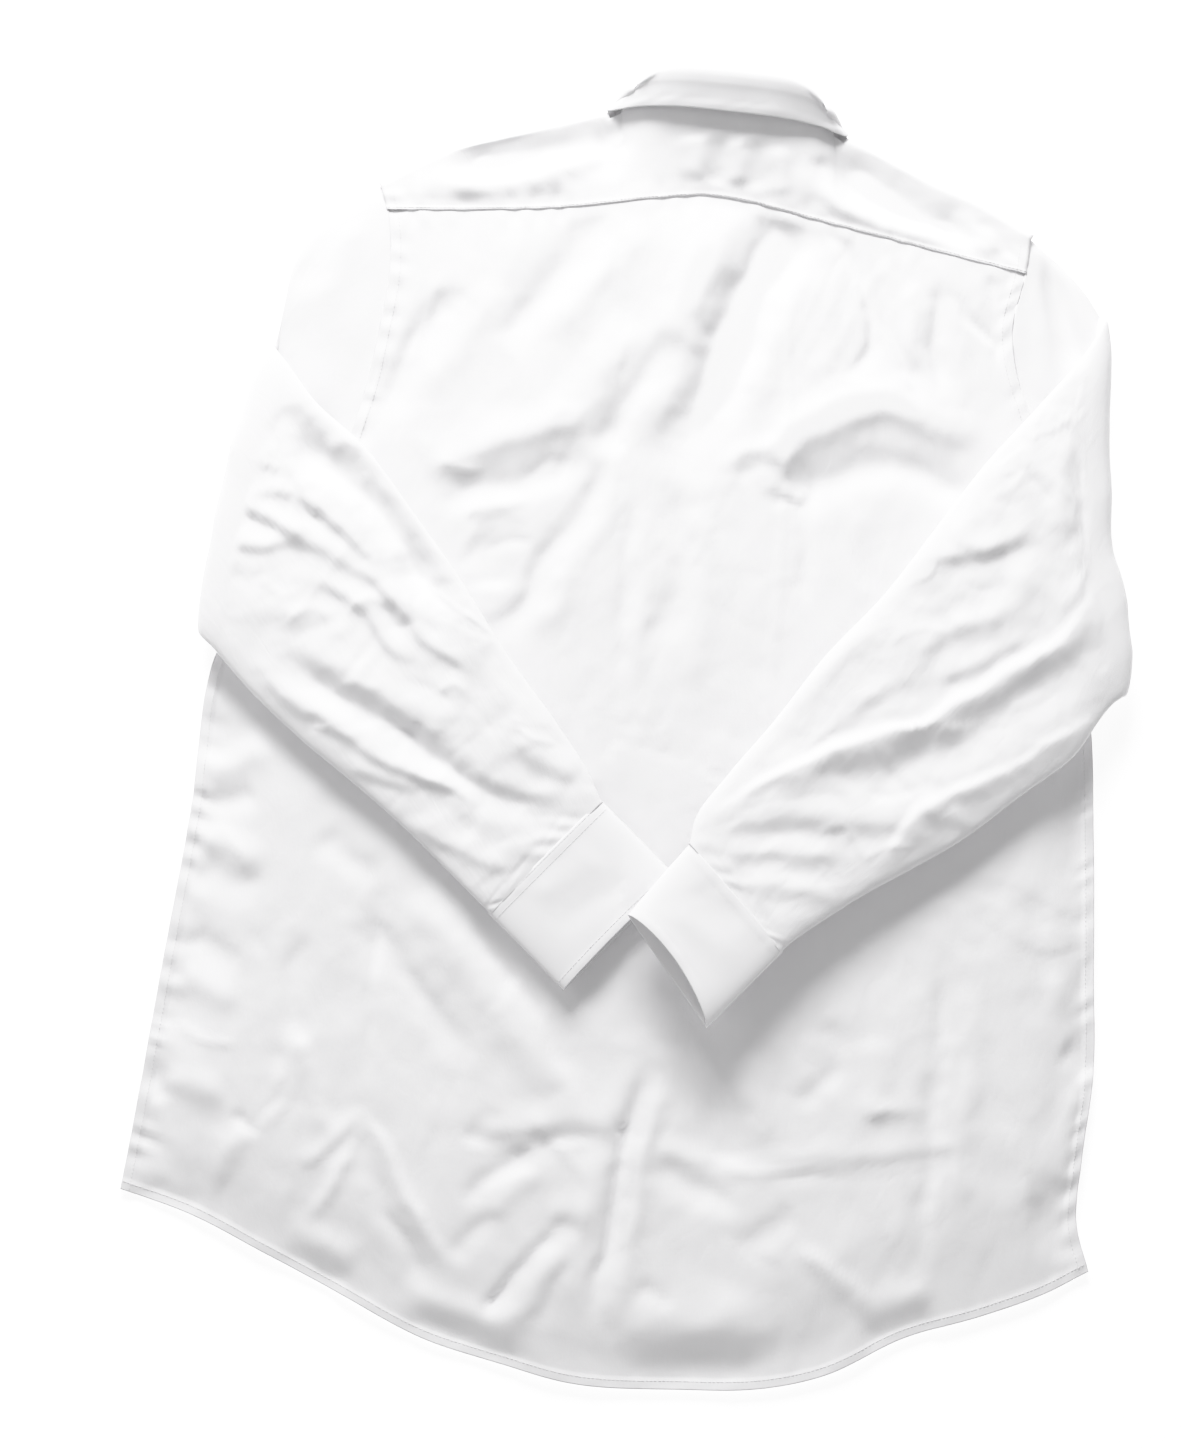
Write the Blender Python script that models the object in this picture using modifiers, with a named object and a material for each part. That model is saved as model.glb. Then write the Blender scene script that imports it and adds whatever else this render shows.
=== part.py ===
"""Long sleeve dress shirt, laid face down: its back on top, both sleeves folded over it, cuffs at the middle.

Metres, +Z up, +Y towards the collar. The tables below are in millimetres.
"""
import math

import bmesh
import bpy
import numpy as np
from mathutils import Matrix

MM = 0.001
WALL = 1.6  # cloth with its turnings
SEAM = 0.4  # between two pieces that are sewn together
ARMHOLE_SEAM = 1.3  # the same at an armhole, whose two edges bend differently
BODY_MID = 5.0  # height of the middle of the flattened body
BODY_HALF = 5.0  # half its height at the armholes and the shoulder folds
FOLD_RADIUS = 7.0  # a sleeve turns over on this radius
ORIGIN = (2.2, 9.9)  # the middle of the outline

# Outline lines, as (x, y)
ARMHOLE_LEFT = ((-157, 357), (-152, 338), (-150, 300), (-156, 262), (-168, 210), (-194, 145), (-245, 76))
ARMHOLE_RIGHT = ((265, 322), (261, 295), (252, 260), (254, 230), (263, 200), (274, 140), (286, 50))
SIDE_LEFT = ((-245, 76), (-262, 40), (-274, -50), (-291, -150), (-306, -240), (-315, -289))
SIDE_RIGHT = (
    (286, 50), (297, 10), (299, -70), (297.5, -160), (296.5, -215), (288, -270), (284, -310), (291, -340),
)
YOKE_SEAM = (
    (-152, 338), (-100, 337.5), (-40, 339), (20, 345), (60, 346.5), (130, 329.5), (200, 311), (261, 295),
)
HEM = (
    (-315, -289), (-270, -305), (-225, -328), (-176, -354), (-125, -381), (-75, -397), (-30, -409),
    (35, -412.5), (85, -412), (125, -404), (175, -381), (225, -367), (265, -353), (291, -340),
)
FRONT_HEM = (
    (-315, -289), (-270, -300), (-225, -317), (-176, -338), (-125, -361), (-75, -377), (-30, -386),
    (35, -391), (85, -389), (125, -382), (175, -366), (225, -356), (265, -347), (291, -340),
)
SHOULDER_LEFT = ((-157, 357), (-118, 376), (-60, 391), (-9, 403))
SHOULDER_RIGHT = ((146, 386.5), (200, 357), (235, 341), (265, 322))
YOKE_FRONT = 28.0  # the yoke comes over the shoulder fold by this much
BODY_COLUMNS = (9, 9, 7)  # left shoulder, neck, right shoulder
BODY_ROWS = 24

# Centre front, from the collar to the hem, and how far each front goes past it
CENTRE_FRONT = ((61.5, 320.0), (-13.0, -386.0))
OVERLAP = 16.0

# The largest folds of the back: start, end, height, half width
BACK_FOLDS = (
    ((75, 318), (20, 165), -3.4, 26),
    ((25, 250), (-50, 165), -2.6, 24),
    ((-20, 320), (-75, 255), -1.8, 22),
    ((50, 260), (5, 130), 2.4, 24),
    ((115, 250), (120, 185), 2.2, 26),
    ((105, 175), (225, 178), -2.6, 24),
    ((155, 300), (158, 240), -1.8, 22),
    ((205, 290), (205, 215), -1.8, 22),
    ((10, 110), (20, 10), 1.6, 24),
    ((-110, -120), (-40, -240), 2.0, 26),
    ((-205, -190), (-130, -340), 2.2, 28),
    ((0, -250), (-25, -360), 2.0, 24),
    ((-250, -60), (-262, -210), -2.4, 26),
    ((-215, -300), (-176, -338), -2.6, 26),
    ((45, -350), (90, -385), -2.6, 30),
    ((170, -350), (190, -366), -2.6, 26),
    ((100, -270), (190, -262), 1.8, 26),
    ((262, -230), (268, -320), 2.2, 24),
)

# Collar loop, half of it from centre back round to centre front: (half width, y, z), in the collar's own frame
COLLAR_AT = (69.0, 400.0)
COLLAR_TURN = -6.4
STAND_BASE = (
    (0, 1, 16), (30, 1, 15.5), (54, 0, 13.5), (64, -2.5, 10.8), (69, -5.5, 8.2), (69, -13, 3.4),
    (67, -24, 2.6), (61, -37, 2.1), (49, -54, 2.1), (32, -67.5, 2.1), (14, -75.5, 2.1), (0, -77.5, 2.1),
)
STAND_TOP = (
    (0, 27.2, 41), (30, 26.8, 39.5), (46, 24.5, 34.5), (56.5, 19.5, 28), (62, 13.5, 21.5), (64.5, 7, 11.6),
    (63, -1, 6.8), (56, -10, 3.2), (45, -24, 2.1), (28, -37.5, 2.1), (12, -45, 2.1), (0, -47, 2.1),
)
FALL_MIDDLE = (
    (0, 16.3, 37), (31, 16, 35.5), (52, 15, 31), (64, 12, 24.5), (70.5, 8.5, 17), (73.5, 5.5, 10),
    (73, 2.5, 2.7), (66, -21, 1.75), (57, -46, 1.7), (44, -62, 1.7), (33, -74, 1.7), (24, -83, 1.7),
)
FALL_EDGE = (
    (0, 4.6, 30), (32, 4.6, 29), (58, 4.4, 25), (71, 3.4, 19.5), (76.5, 3.4, 13.5), (78.5, 3.2, 8),
    (78.5, 1.8, 2.6), (76, -30, 1.7), (68, -64, 1.7), (60, -86, 1.7), (53, -102, 1.7), (46.5, -118, 1.7),
)
NECK_BACK, NECK_FRONT = 0.36, 0.64  # where the yoke and then a front meet the collar, from centre back to front
FALL_END = 5.5  # each end of the fall stops this far from centre front

# Sleeves, a row for each ring: turn over the fold in degrees, inner edge x, y, z, outer edge x, y, z, half height
SLEEVE_LEFT = (
    (0, -188, 336, 5, -247, 74, 3.4, 5.0),
    (0, -212, 308, 5, -254, 66, 4.0, 5.0),
    (0, -217, 262, 5.4, -259, 58, 5.4, 5.0),
    (45, -217, 252, 5, -260, 56, 5.0, 5.4),
    (90, -217, 248, 5, -260, 56, 5.0, 5.6),
    (135, -217, 245, 5, -260, 54, 5.0, 5.6),
    (180, -214, 236, 5, -258, 48, 5.0, 5.8),
    (180, -196, 211, 6, -238, 24, 6.6, 6.8),
    (180, -163, 180, 6, -205, -8, 6.6, 7.2),
    (180, -130, 135, 6, -170, -37, 6.6, 7.2),
    (180, -104, 98, 6, -141, -62, 6.4, 7.0),
    (180, -73, 48, 5.5, -117, -85, 6.0, 6.6),
    (180, -43, 6, 5.6, -99, -103, 6.0, 6.2),
    (180, -21, -28, 5.4, -87.5, -114.5, 5.4, 5.4),
    (180, -12.2, -47.6, 5.2, -83.2, -118.6, 5.2, 4.6),
)
SLEEVE_RIGHT = (
    (0, 283, 302, 5, 291, 42, 3.4, 5.0),
    (0, 296, 282, 5, 299, 32, 4.0, 5.0),
    (0, 301, 264, 5, 305, 22, 5.0, 5.0),
    (45, 301, 262, 5, 308, 20, 5.0, 5.4),
    (90, 301, 261, 5, 308, 18, 5.0, 5.6),
    (135, 301, 260, 5, 308, 17, 5.0, 5.6),
    (180, 300, 248, 5, 306, 12, 5.0, 5.8),
    (180, 264, 206, 7, 285, -20, 7.6, 7.6),
    (180, 231, 170, 7.5, 250, -46, 8.6, 8.4),
    (180, 200, 130, 8, 212, -74, 9.4, 8.8),
    (180, 166, 86, 8.5, 180, -92, 10.4, 8.8),
    (180, 127, 45, 9.5, 152, -107, 12, 8.4),
    (180, 94, 3, 11.5, 129, -121, 14.4, 7.8),
    (180, 64, -32, 14.5, 112, -132, 16.8, 7.0),
    (180, 44, -60, 17.6, 102.5, -139, 18.6, 6.2),
    (180, 41, -74.6, 19.2, 98.2, -143, 19.2, 5.6),
)
RING = (0, 0.018, 0.07, 0.18, 0.32, 0.46, 0.6, 0.74, 0.86, 0.94, 0.982, 1)

# The largest folds of the sleeves where they lie over the back: start, end, height, half width
SLEEVE_FOLDS = (
    ((290, 60), (190, 8), 4.0, 16),
    ((190, 8), (75, -42), 4.0, 14),
    ((285, 10), (120, -62), -4.4, 17),
    ((262, -22), (205, -58), 3.0, 13),
    ((150, -92), (70, -86), 3.0, 12),
    ((190, 100), (120, 36), -2.4, 12),
    ((-215, 42), (-60, -50), -4.0, 13),
    ((-235, 32), (-120, -45), 2.6, 12),
    ((-160, -40), (-78, -85), -4.0, 13),
    ((-185, 150), (-115, 75), -2.6, 14),
    ((-70, -85), (-110, -92), 2.6, 11),
)

# Cuffs: inner edge x, y, z, outer edge x, y, z, half height, at the sleeve seam, half way and at the mouth
CUFF_LEFT = (
    (-11.9, -47.9, 19.2, -82.9, -118.9, 19.2, 4.6),
    (11, -71, 19.3, -60, -142, 19.3, 4.7),
    (34, -94.5, 19.4, -37, -165.5, 19.4, 4.9),
)
CUFF_RIGHT = (
    (38.5, -78.6, 33.4, 97.9, -143.4, 33.2, 5.6),
    (20, -99, 33.8, 75, -166, 34.9, 6.8),
    (3, -119, 34.2, 52, -189, 36.6, 8.2),
)

# Buttons: radius, thickness, rim height, hole circle, hole radius
BUTTON = (5.7, 2.0, 0.35, 1.6, 0.75)
BUTTON_COUNT = 7
CUFF_BUTTONS = (("left", (-24, -107, 12.4)), ("right", (37, -133, 25.0)))
BUTTON_FIRST = 0.062  # of the way down the centre front
BUTTON_STEP = 0.124

KEEP = "long_sleeve_dress_shirt"
CUTTERS = "button_cutters"


def clear():
    for item in list(bpy.data.objects):
        bpy.data.objects.remove(item, do_unlink=True)
    for group in list(bpy.data.collections):
        bpy.data.collections.remove(group)


def line(rows, t):
    """Points at t (0 to 1) of the smooth line through the rows, spaced by the lengths between them."""
    rows = np.array(rows, float)
    step = np.maximum(np.linalg.norm(np.diff(rows[:, :2], axis=0), axis=1), 1e-9)
    if rows.shape[1] > 2:
        step = np.linalg.norm(np.diff(rows, axis=0), axis=1)
    at = np.concatenate([[0], np.cumsum(step)]) / step.sum()
    return smooth_rows(at, rows, np.asarray(t, float))


def smooth_rows(at, rows, t):
    """Cubic line through the rows, with slopes that never swing past a row."""
    gap = np.diff(at)[:, None]
    rise = np.diff(rows, axis=0) / gap
    slope = np.vstack([rise[:1], (rise[:-1] + rise[1:]) / 2, rise[-1:]])
    k = np.clip(np.searchsorted(at, t, side="right") - 1, 0, len(at) - 2)
    span = gap[k]
    f = ((t - at[k])[:, None]) / span
    a, b = rows[k], rows[k + 1]
    m, n = slope[k] * span, slope[k + 1] * span
    bend = m * (f**3 - 2 * f**2 + f) + n * (f**3 - f**2)
    return a * (2 * f**3 - 3 * f**2 + 1) + b * (3 * f**2 - 2 * f**3) + bend


def ease(x):
    x = np.clip(x, 0, 1)
    return x * x * (3 - 2 * x)


def swell(s, power=7.0):
    """Height over a flattened tube's width: 0 at its two edges, 1 over most of it."""
    return np.sqrt(np.clip(1 - np.abs(2 * np.asarray(s, float) - 1) ** power, 0, 1))


def fold_height(xy, rows):
    """Sum of soft ridges and troughs, each round the line from its start to its end."""
    total = np.zeros(xy.shape[:-1])
    for start, end, height, width in rows:
        a, b = np.array(start, float), np.array(end, float)
        run = b - a
        f = np.clip(((xy - a) @ run) / (run @ run), 0, 1)
        off = np.linalg.norm(xy - (a + f[..., None] * run), axis=-1)
        total += height * np.exp(-((off / width) ** 2))
    return total


def patch(bottom, top, left, right):
    """Grid of points filled in between four lines of points, bottom and top by column, left and right by row."""
    u = np.linspace(0, 1, len(bottom))[:, None, None]
    v = np.linspace(0, 1, len(left))[None, :, None]
    across = (1 - v) * bottom[:, None] + v * top[:, None]
    down = (1 - u) * left[None] + u * right[None]
    corner = (1 - u) * ((1 - v) * bottom[0] + v * top[0]) + u * ((1 - v) * bottom[-1] + v * top[-1])
    return across + down - corner


def material(name, colour, roughness):
    made = bpy.data.materials.new(name)
    made.use_nodes = True
    shader = made.node_tree.nodes["Principled BSDF"]
    shader.inputs["Base Color"].default_value = (*colour, 1)
    shader.inputs["Roughness"].default_value = roughness
    made.diffuse_color = (*colour, 1)
    return made


def place(name, mesh, group, colour, roughness):
    item = bpy.data.objects.new(name, mesh)
    group.objects.link(item)
    mesh.materials.append(material(name + "_cloth", colour, roughness))
    return item


def sheet(name, points, group, side, colour, drop=None, closed=False, wall=WALL):
    """A panel or a tube from a grid of points in mm, made thick on one side of it (side -1 inwards, 1 outwards)."""
    points = np.array(points, float)
    nu, nv = points.shape[0] - 1, points.shape[1] - 1
    shape = bmesh.new()
    bmesh.ops.create_grid(shape, x_segments=nu, y_segments=nv, size=0.5)
    for vert in shape.verts:
        i, j = round((vert.co.x + 0.5) * nu), round((vert.co.y + 0.5) * nv)
        x, y, z = points[i, j]
        vert.index = i * (nv + 1) + j
        vert.co = ((x - ORIGIN[0]) * MM, (y - ORIGIN[1]) * MM, z * MM)
    if drop is not None:
        gone = []
        for face in shape.faces:
            cells = [divmod(vert.index, nv + 1) for vert in face.verts]
            if drop(min(c[0] for c in cells), min(c[1] for c in cells)):
                gone.append(face)
        bmesh.ops.delete(shape, geom=gone, context="FACES")
    if closed:
        bmesh.ops.remove_doubles(shape, verts=shape.verts, dist=0.000001)
        face_out(shape, points)
    mesh = bpy.data.meshes.new(name)
    shape.to_mesh(mesh)
    shape.free()
    item = place(name, mesh, group, colour, 0.8)
    thick = item.modifiers.new("cloth_wall", "SOLIDIFY")
    thick.thickness = wall * MM
    thick.offset = side
    for face in mesh.polygons:
        face.use_smooth = True
    return item


def face_out(shape, points):
    """Turns the faces of a tube so that they look away from the middle of its nearest ring."""
    middles = (points.mean(axis=0) - (*ORIGIN, 0)) * MM
    shape.normal_update()
    score = 0.0
    for face in shape.faces:
        spot = np.array(face.calc_center_median())
        near = middles[np.argmin(np.linalg.norm(middles - spot, axis=1))]
        score += float(np.dot(np.array(face.normal), spot - near)) * face.calc_area()
    if score < 0:
        bmesh.ops.reverse_faces(shape, faces=shape.faces)


def rest_height(xy):
    """How far the underside of the fronts is held off the table, by the collar and the buttons under them."""
    x, y = xy[..., 0], xy[..., 1]
    a, b = np.array(CENTRE_FRONT[0]), np.array(CENTRE_FRONT[1])
    f = np.clip((y - a[1]) / (b[1] - a[1]), 0, 1)
    strip = 1 - ease((np.abs(x - (a[0] + f * (b[0] - a[0]))) - 34) / 26)
    collar = (1 - ease((np.abs(x - 62) - 112) / 30)) * ease((y - 222) / 30)
    return 2.3 * np.maximum(strip, collar)


def back_height(xy, u, y_under):
    """Outer height of the back: full over the middle, down to the side seams and a little at the hem."""
    low = 3.9
    v = ease((y_under + 20 - xy[..., 1]) / 90)
    edge = np.minimum(u, 1 - u) * 600
    side = 1 - v * (1 - ease(edge / 46))
    inside = ease(edge / 60)
    return low + side * (6.1 + inside * (0.8 + np.clip(fold_height(xy, BACK_FOLDS), -2.8, 2.4)))


def armhole_top(rows, s):
    """Upper edge of an armhole at s: the same rise as the sleeve ring that is sewn to it."""
    xy = line(rows, s)
    s = np.asarray(s, float)
    mid = BODY_MID * (1 - s) + 3.4 * s
    return np.column_stack([xy, mid + (BODY_HALF * (1 - s) + 3.2 * s) * swell(s)])


def body_edge(armhole, side, start, rows):
    """Side line of the back or a front from the hem up: side seam, then the armhole from the underarm to start."""
    hole, seam = rows
    lower = line(side, np.linspace(1, 0, seam + 1))
    upper = line(armhole, np.linspace(1, start, hole + 1))
    return np.vstack([lower, upper[1:]])


def collar_place(points):
    turn = math.radians(COLLAR_TURN)
    c, s = math.cos(turn), math.sin(turn)
    out = np.array(points, float)
    x, y = out[..., 0].copy(), out[..., 1].copy()
    out[..., 0] = COLLAR_AT[0] + x * c - y * s
    out[..., 1] = COLLAR_AT[1] + x * s + y * c
    return out


def loop(rows, t):
    """Whole collar loop from the half table: t from -1 (centre front, left) through 0 (back) to 1."""
    t = np.asarray(t, float)
    half = np.array(rows, float)
    at = np.linspace(0, 1, len(half))
    side = smooth_rows(at, half, np.abs(t))
    side[:, 0] *= np.where(t < 0, -1, 1)
    return side


def build_back(group):
    columns = sum(BODY_COLUMNS)
    u = np.linspace(0, 1, columns + 1)
    seam = line(YOKE_SEAM, u) - (0, SEAM)
    hem = line(HEM, u)
    rows = (10, BODY_ROWS - 10)
    left = body_edge(ARMHOLE_LEFT, SIDE_LEFT, 0.066, rows)
    right = body_edge(ARMHOLE_RIGHT, SIDE_RIGHT, 0.1, rows)
    left[-1], right[-1] = seam[0], seam[-1]
    left[0], right[0] = hem[0], hem[-1]
    left[:, 0] += SEAM
    right[:, 0] -= SEAM
    grid = patch(hem, seam, left, right)
    xy = grid[..., :2]
    under = np.linspace(66, 40, columns + 1)[:, None]
    z = back_height(xy, u[:, None], under)
    s = np.linspace(1, 0.08, rows[0] + 1)
    z[0, rows[1]:] = armhole_top(ARMHOLE_LEFT, s)[:, 2]
    z[-1, rows[1]:] = armhole_top(ARMHOLE_RIGHT, s)[:, 2]
    z[0, rows[1]] = z[-1, rows[1]] = 5.4
    z[:, 0] = np.minimum(z[:, 0], 8.5)
    sheet("back_panel", np.dstack([xy, z]), group, -1, (0.86, 0.87, 0.88))
    return grid


def shoulder(rows, t):
    """Points of a shoulder fold and the outward direction at each."""
    at = line(rows, t)
    ahead = line(rows, np.clip(np.asarray(t) + 0.01, 0, 1)) - line(rows, np.clip(np.asarray(t) - 0.01, 0, 1))
    ahead /= np.linalg.norm(ahead, axis=1)[:, None]
    return at, np.column_stack([-ahead[:, 1], ahead[:, 0]])


def build_yoke(group):
    left_n, neck_n, right_n = BODY_COLUMNS
    columns = left_n + neck_n + right_n
    u = np.linspace(0, 1, columns + 1)
    seam = line(YOKE_SEAM, u)
    fold_left, out_left = shoulder(SHOULDER_LEFT, np.linspace(0, 1, left_n + 1))
    fold_right, out_right = shoulder(SHOULDER_RIGHT, np.linspace(0, 1, right_n + 1))
    neck = collar_place(loop(STAND_BASE, np.linspace(-NECK_BACK, NECK_BACK, neck_n + 1)))
    neck[:, 1] -= SEAM + 0.5 + 2.4 * np.abs(np.linspace(-1, 1, neck_n + 1)) ** 3
    neck[:, 0] += 1.2 * np.linspace(-1, 1, neck_n + 1) ** 3
    fold = np.vstack([fold_left, neck[1:-1, :2], fold_right])
    out = np.vstack([out_left, np.tile((0.1, 0.99), (neck_n - 1, 1)), out_right])
    is_neck = np.zeros(columns + 1, bool)
    is_neck[left_n + 1:left_n + neck_n] = True
    inset = np.where(is_neck, 0, BODY_HALF)[:, None]
    edge = fold - inset * out
    edge[0] = line(ARMHOLE_LEFT, [BODY_HALF / 300])[0]
    edge[-1] = line(ARMHOLE_RIGHT, [BODY_HALF / 300])[0]
    rows = []
    top = np.full(columns + 1, BODY_MID + BODY_HALF)
    top[left_n:left_n + neck_n + 1] = np.maximum(neck[:, 2] - 0.2, 9.6)
    for k in range(5):
        f = k / 4
        xy = seam * (1 - f) + edge * f
        z = (BODY_MID + BODY_HALF) * (1 - f) + top * f
        rows.append(np.column_stack([xy, z]))
    low = rest_height(edge)
    half = (top - low) / 2
    for angle in (45, 90, 135, 180):
        a = math.radians(angle)
        xy = edge + inset * out * math.sin(a)
        rows.append(np.column_stack([xy, low + half + half * math.cos(a)]))
    for f in (0.5, 1.0):
        xy = edge - out * YOKE_FRONT * f
        for armhole, first, step in ((ARMHOLE_LEFT, 0, 1), (ARMHOLE_RIGHT, -1, -1)):
            shift = line(armhole, [(BODY_HALF + YOKE_FRONT * f) / 300])[0] - xy[first]
            for k in range(6):
                xy[first + step * k] += shift * (1 - k / 6)
        rows.append(np.column_stack([xy, rest_height(xy)]))
    grid = np.stack(rows, axis=1)
    grid[0, :, 0] += 2 * SEAM
    grid[-1, :, 0] -= 3.3 * SEAM
    first, last = left_n, left_n + neck_n
    sheet(
        "yoke", grid, group, -1, (0.88, 0.88, 0.89),
        drop=lambda i, j: j >= 4 and first <= i < last,
    )
    return grid[:left_n + 1, -1], grid[last:, -1]


def centre_front(f, past):
    a, b = np.array(CENTRE_FRONT[0]), np.array(CENTRE_FRONT[1])
    run = (b - a) / np.linalg.norm(b - a)
    return a + np.asarray(f)[:, None] * (b - a) + past * np.array([-run[1], run[0]])


def build_fronts(group, yoke_left, yoke_right):
    rows = (8, 14)
    for name, armhole, side, flap, sign in (
        ("front_left", ARMHOLE_LEFT, SIDE_LEFT, yoke_left, -1),
        ("front_right", ARMHOLE_RIGHT, SIDE_RIGHT, yoke_right, 1),
    ):
        edge = body_edge(armhole, side, 0.14, rows)
        steps = np.linspace(1.0, NECK_FRONT, 6)
        neck = collar_place(loop(STAND_BASE, sign * steps))[:, :2]
        centre = collar_place(np.array([[0, -45, 0]]))[0, :2]
        away = neck - centre
        neck = neck + away / np.linalg.norm(away, axis=1)[:, None] * (SEAM + 0.7)
        opening = centre_front(np.zeros(1), OVERLAP if sign < 0 else -OVERLAP)
        flap_line = flap[:, :2] - (0, SEAM + 0.2)
        pick = np.round(np.linspace(0, len(flap) - 1, 6)).astype(int)
        flap_line = flap_line[pick]
        if sign < 0:
            top = np.vstack([flap_line, neck[::-1][1:], opening])
        else:
            top = np.vstack([opening, neck[:-1], flap_line])
        count = len(top)
        hem_all = line(FRONT_HEM, np.linspace(0, 1, 400))
        foot = centre_front(np.ones(1), OVERLAP if sign < 0 else -OVERLAP)[0]
        at = int(np.argmin(np.abs(hem_all[:, 0] - foot[0])))
        part = hem_all[:at + 1] if sign < 0 else hem_all[at:]
        hem = line(part[::max(1, len(part) // 14)].tolist() + [part[-1].tolist()], np.linspace(0, 1, count))
        opening_line = centre_front(np.linspace(1, 0, len(edge)), OVERLAP if sign < 0 else -OVERLAP)
        if sign < 0:
            edge[0], edge[-1] = hem[0], top[0]
            opening_line[0], opening_line[-1] = hem[-1], top[-1]
            grid = patch(hem, top, edge, opening_line)
        else:
            edge[0], edge[-1] = hem[-1], top[-1]
            opening_line[0], opening_line[-1] = hem[0], top[0]
            grid = patch(hem, top, opening_line, edge)
        xy = grid[..., :2]
        z = rest_height(xy)
        if sign > 0:
            f = np.clip((xy[..., 1] - CENTRE_FRONT[0][1]) / (CENTRE_FRONT[1][1] - CENTRE_FRONT[0][1]), 0, 1)
            mid = CENTRE_FRONT[0][0] + f * (CENTRE_FRONT[1][0] - CENTRE_FRONT[0][0])
            z = z + 2.3 * (1 - ease((xy[..., 0] - mid - 34) / 22))
        sheet(name, np.dstack([xy, z]), group, 1, (0.85, 0.86, 0.87))


def ring(a, b, turn, out, half, bend=None):
    """One ring of a flattened tube, from its inner edge a over the top to its outer edge b and back below."""
    s = np.array(RING, float)
    s = np.concatenate([s, s[-2:0:-1]])
    over = np.concatenate([np.ones(len(RING)), -np.ones(len(RING) - 2)])
    angle = math.radians(turn)
    spine = a + s[:, None] * (b - a)
    if bend is not None:
        spine[:, :2] = bend(s)
    centre = FOLD_RADIUS * np.array([math.sin(angle) * out[0], math.sin(angle) * out[1], 1 - math.cos(angle)])
    normal = np.array([-math.sin(angle) * out[0], -math.sin(angle) * out[1], math.cos(angle)])
    if turn < 90:
        half = half * (1 - s) + min(half, b[2] - 0.1) * s
    points = spine + centre + normal * (half * swell(s) * over)[:, None]
    if turn == 180:
        folds = fold_height(points[:, :2], SLEEVE_FOLDS) * swell(s, 4.0)
        points[:, 2] += np.where(over < 0, folds, 0)
    return points


def build_sleeve(group, name, armhole, rows, sign):
    first, last = np.array(rows[4][1:3]), np.array(rows[4][4:6])
    run = (last - first) / np.linalg.norm(last - first)
    out = np.array([run[1], -run[0]]) if sign < 0 else np.array([-run[1], run[0]])
    step = np.array([ARMHOLE_SEAM * sign, 0])
    rings = []
    ends = line(armhole, [0, 1]) + step
    a, b = np.append(ends[0], BODY_MID), np.append(ends[1], 3.4)
    start = ring(a, b, 0, out, 1.0, lambda s: line(armhole, s) + step)
    s = np.array(RING, float)
    s = np.concatenate([s, s[-2:0:-1]])
    spine_z = BODY_MID * (1 - s) + 3.4 * s
    start[:, 2] = spine_z + (start[:, 2] - spine_z) * (BODY_HALF * (1 - s) + 3.2 * s)
    rings.append(start)
    for turn, ax, ay, az, bx, by, bz, half in rows:
        a, b = np.array((ax, ay, az), float), np.array((bx, by, bz), float)
        rings.append(ring(a, b, turn, out, half))
    grid = np.stack(rings, axis=1)
    grid = np.concatenate([grid, grid[:1]], axis=0)
    sheet(name, grid, group, -1, (0.87, 0.87, 0.88), closed=True)


def build_cuff(group, name, rows, sign, colour):
    s = np.array(RING, float)
    s = np.concatenate([s, s[-2:0:-1]])
    over = np.concatenate([np.ones(len(RING)), -np.ones(len(RING) - 2)])
    rings = []
    for ax, ay, az, bx, by, bz, half in rows:
        a, b = np.array((ax, ay, az), float), np.array((bx, by, bz), float)
        points = a + s[:, None] * (b - a)
        points[:, 2] -= half * swell(s, 4.0) * over
        rings.append(points)
    grid = np.stack(rings, axis=1)
    grid = np.concatenate([grid, grid[:1]], axis=0)
    sheet(name, grid, group, -1, colour, closed=True)


def neck_steps(end):
    """Places round the collar loop, the same ones that the yoke and the fronts use where they meet it."""
    front = np.linspace(end, NECK_FRONT, 6)
    side = np.linspace(NECK_FRONT, NECK_BACK, 5)[1:-1]
    back = np.linspace(-NECK_BACK, NECK_BACK, BODY_COLUMNS[1] + 1)
    return np.concatenate([-front, -side, back, side[::-1], front[::-1]])


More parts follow.
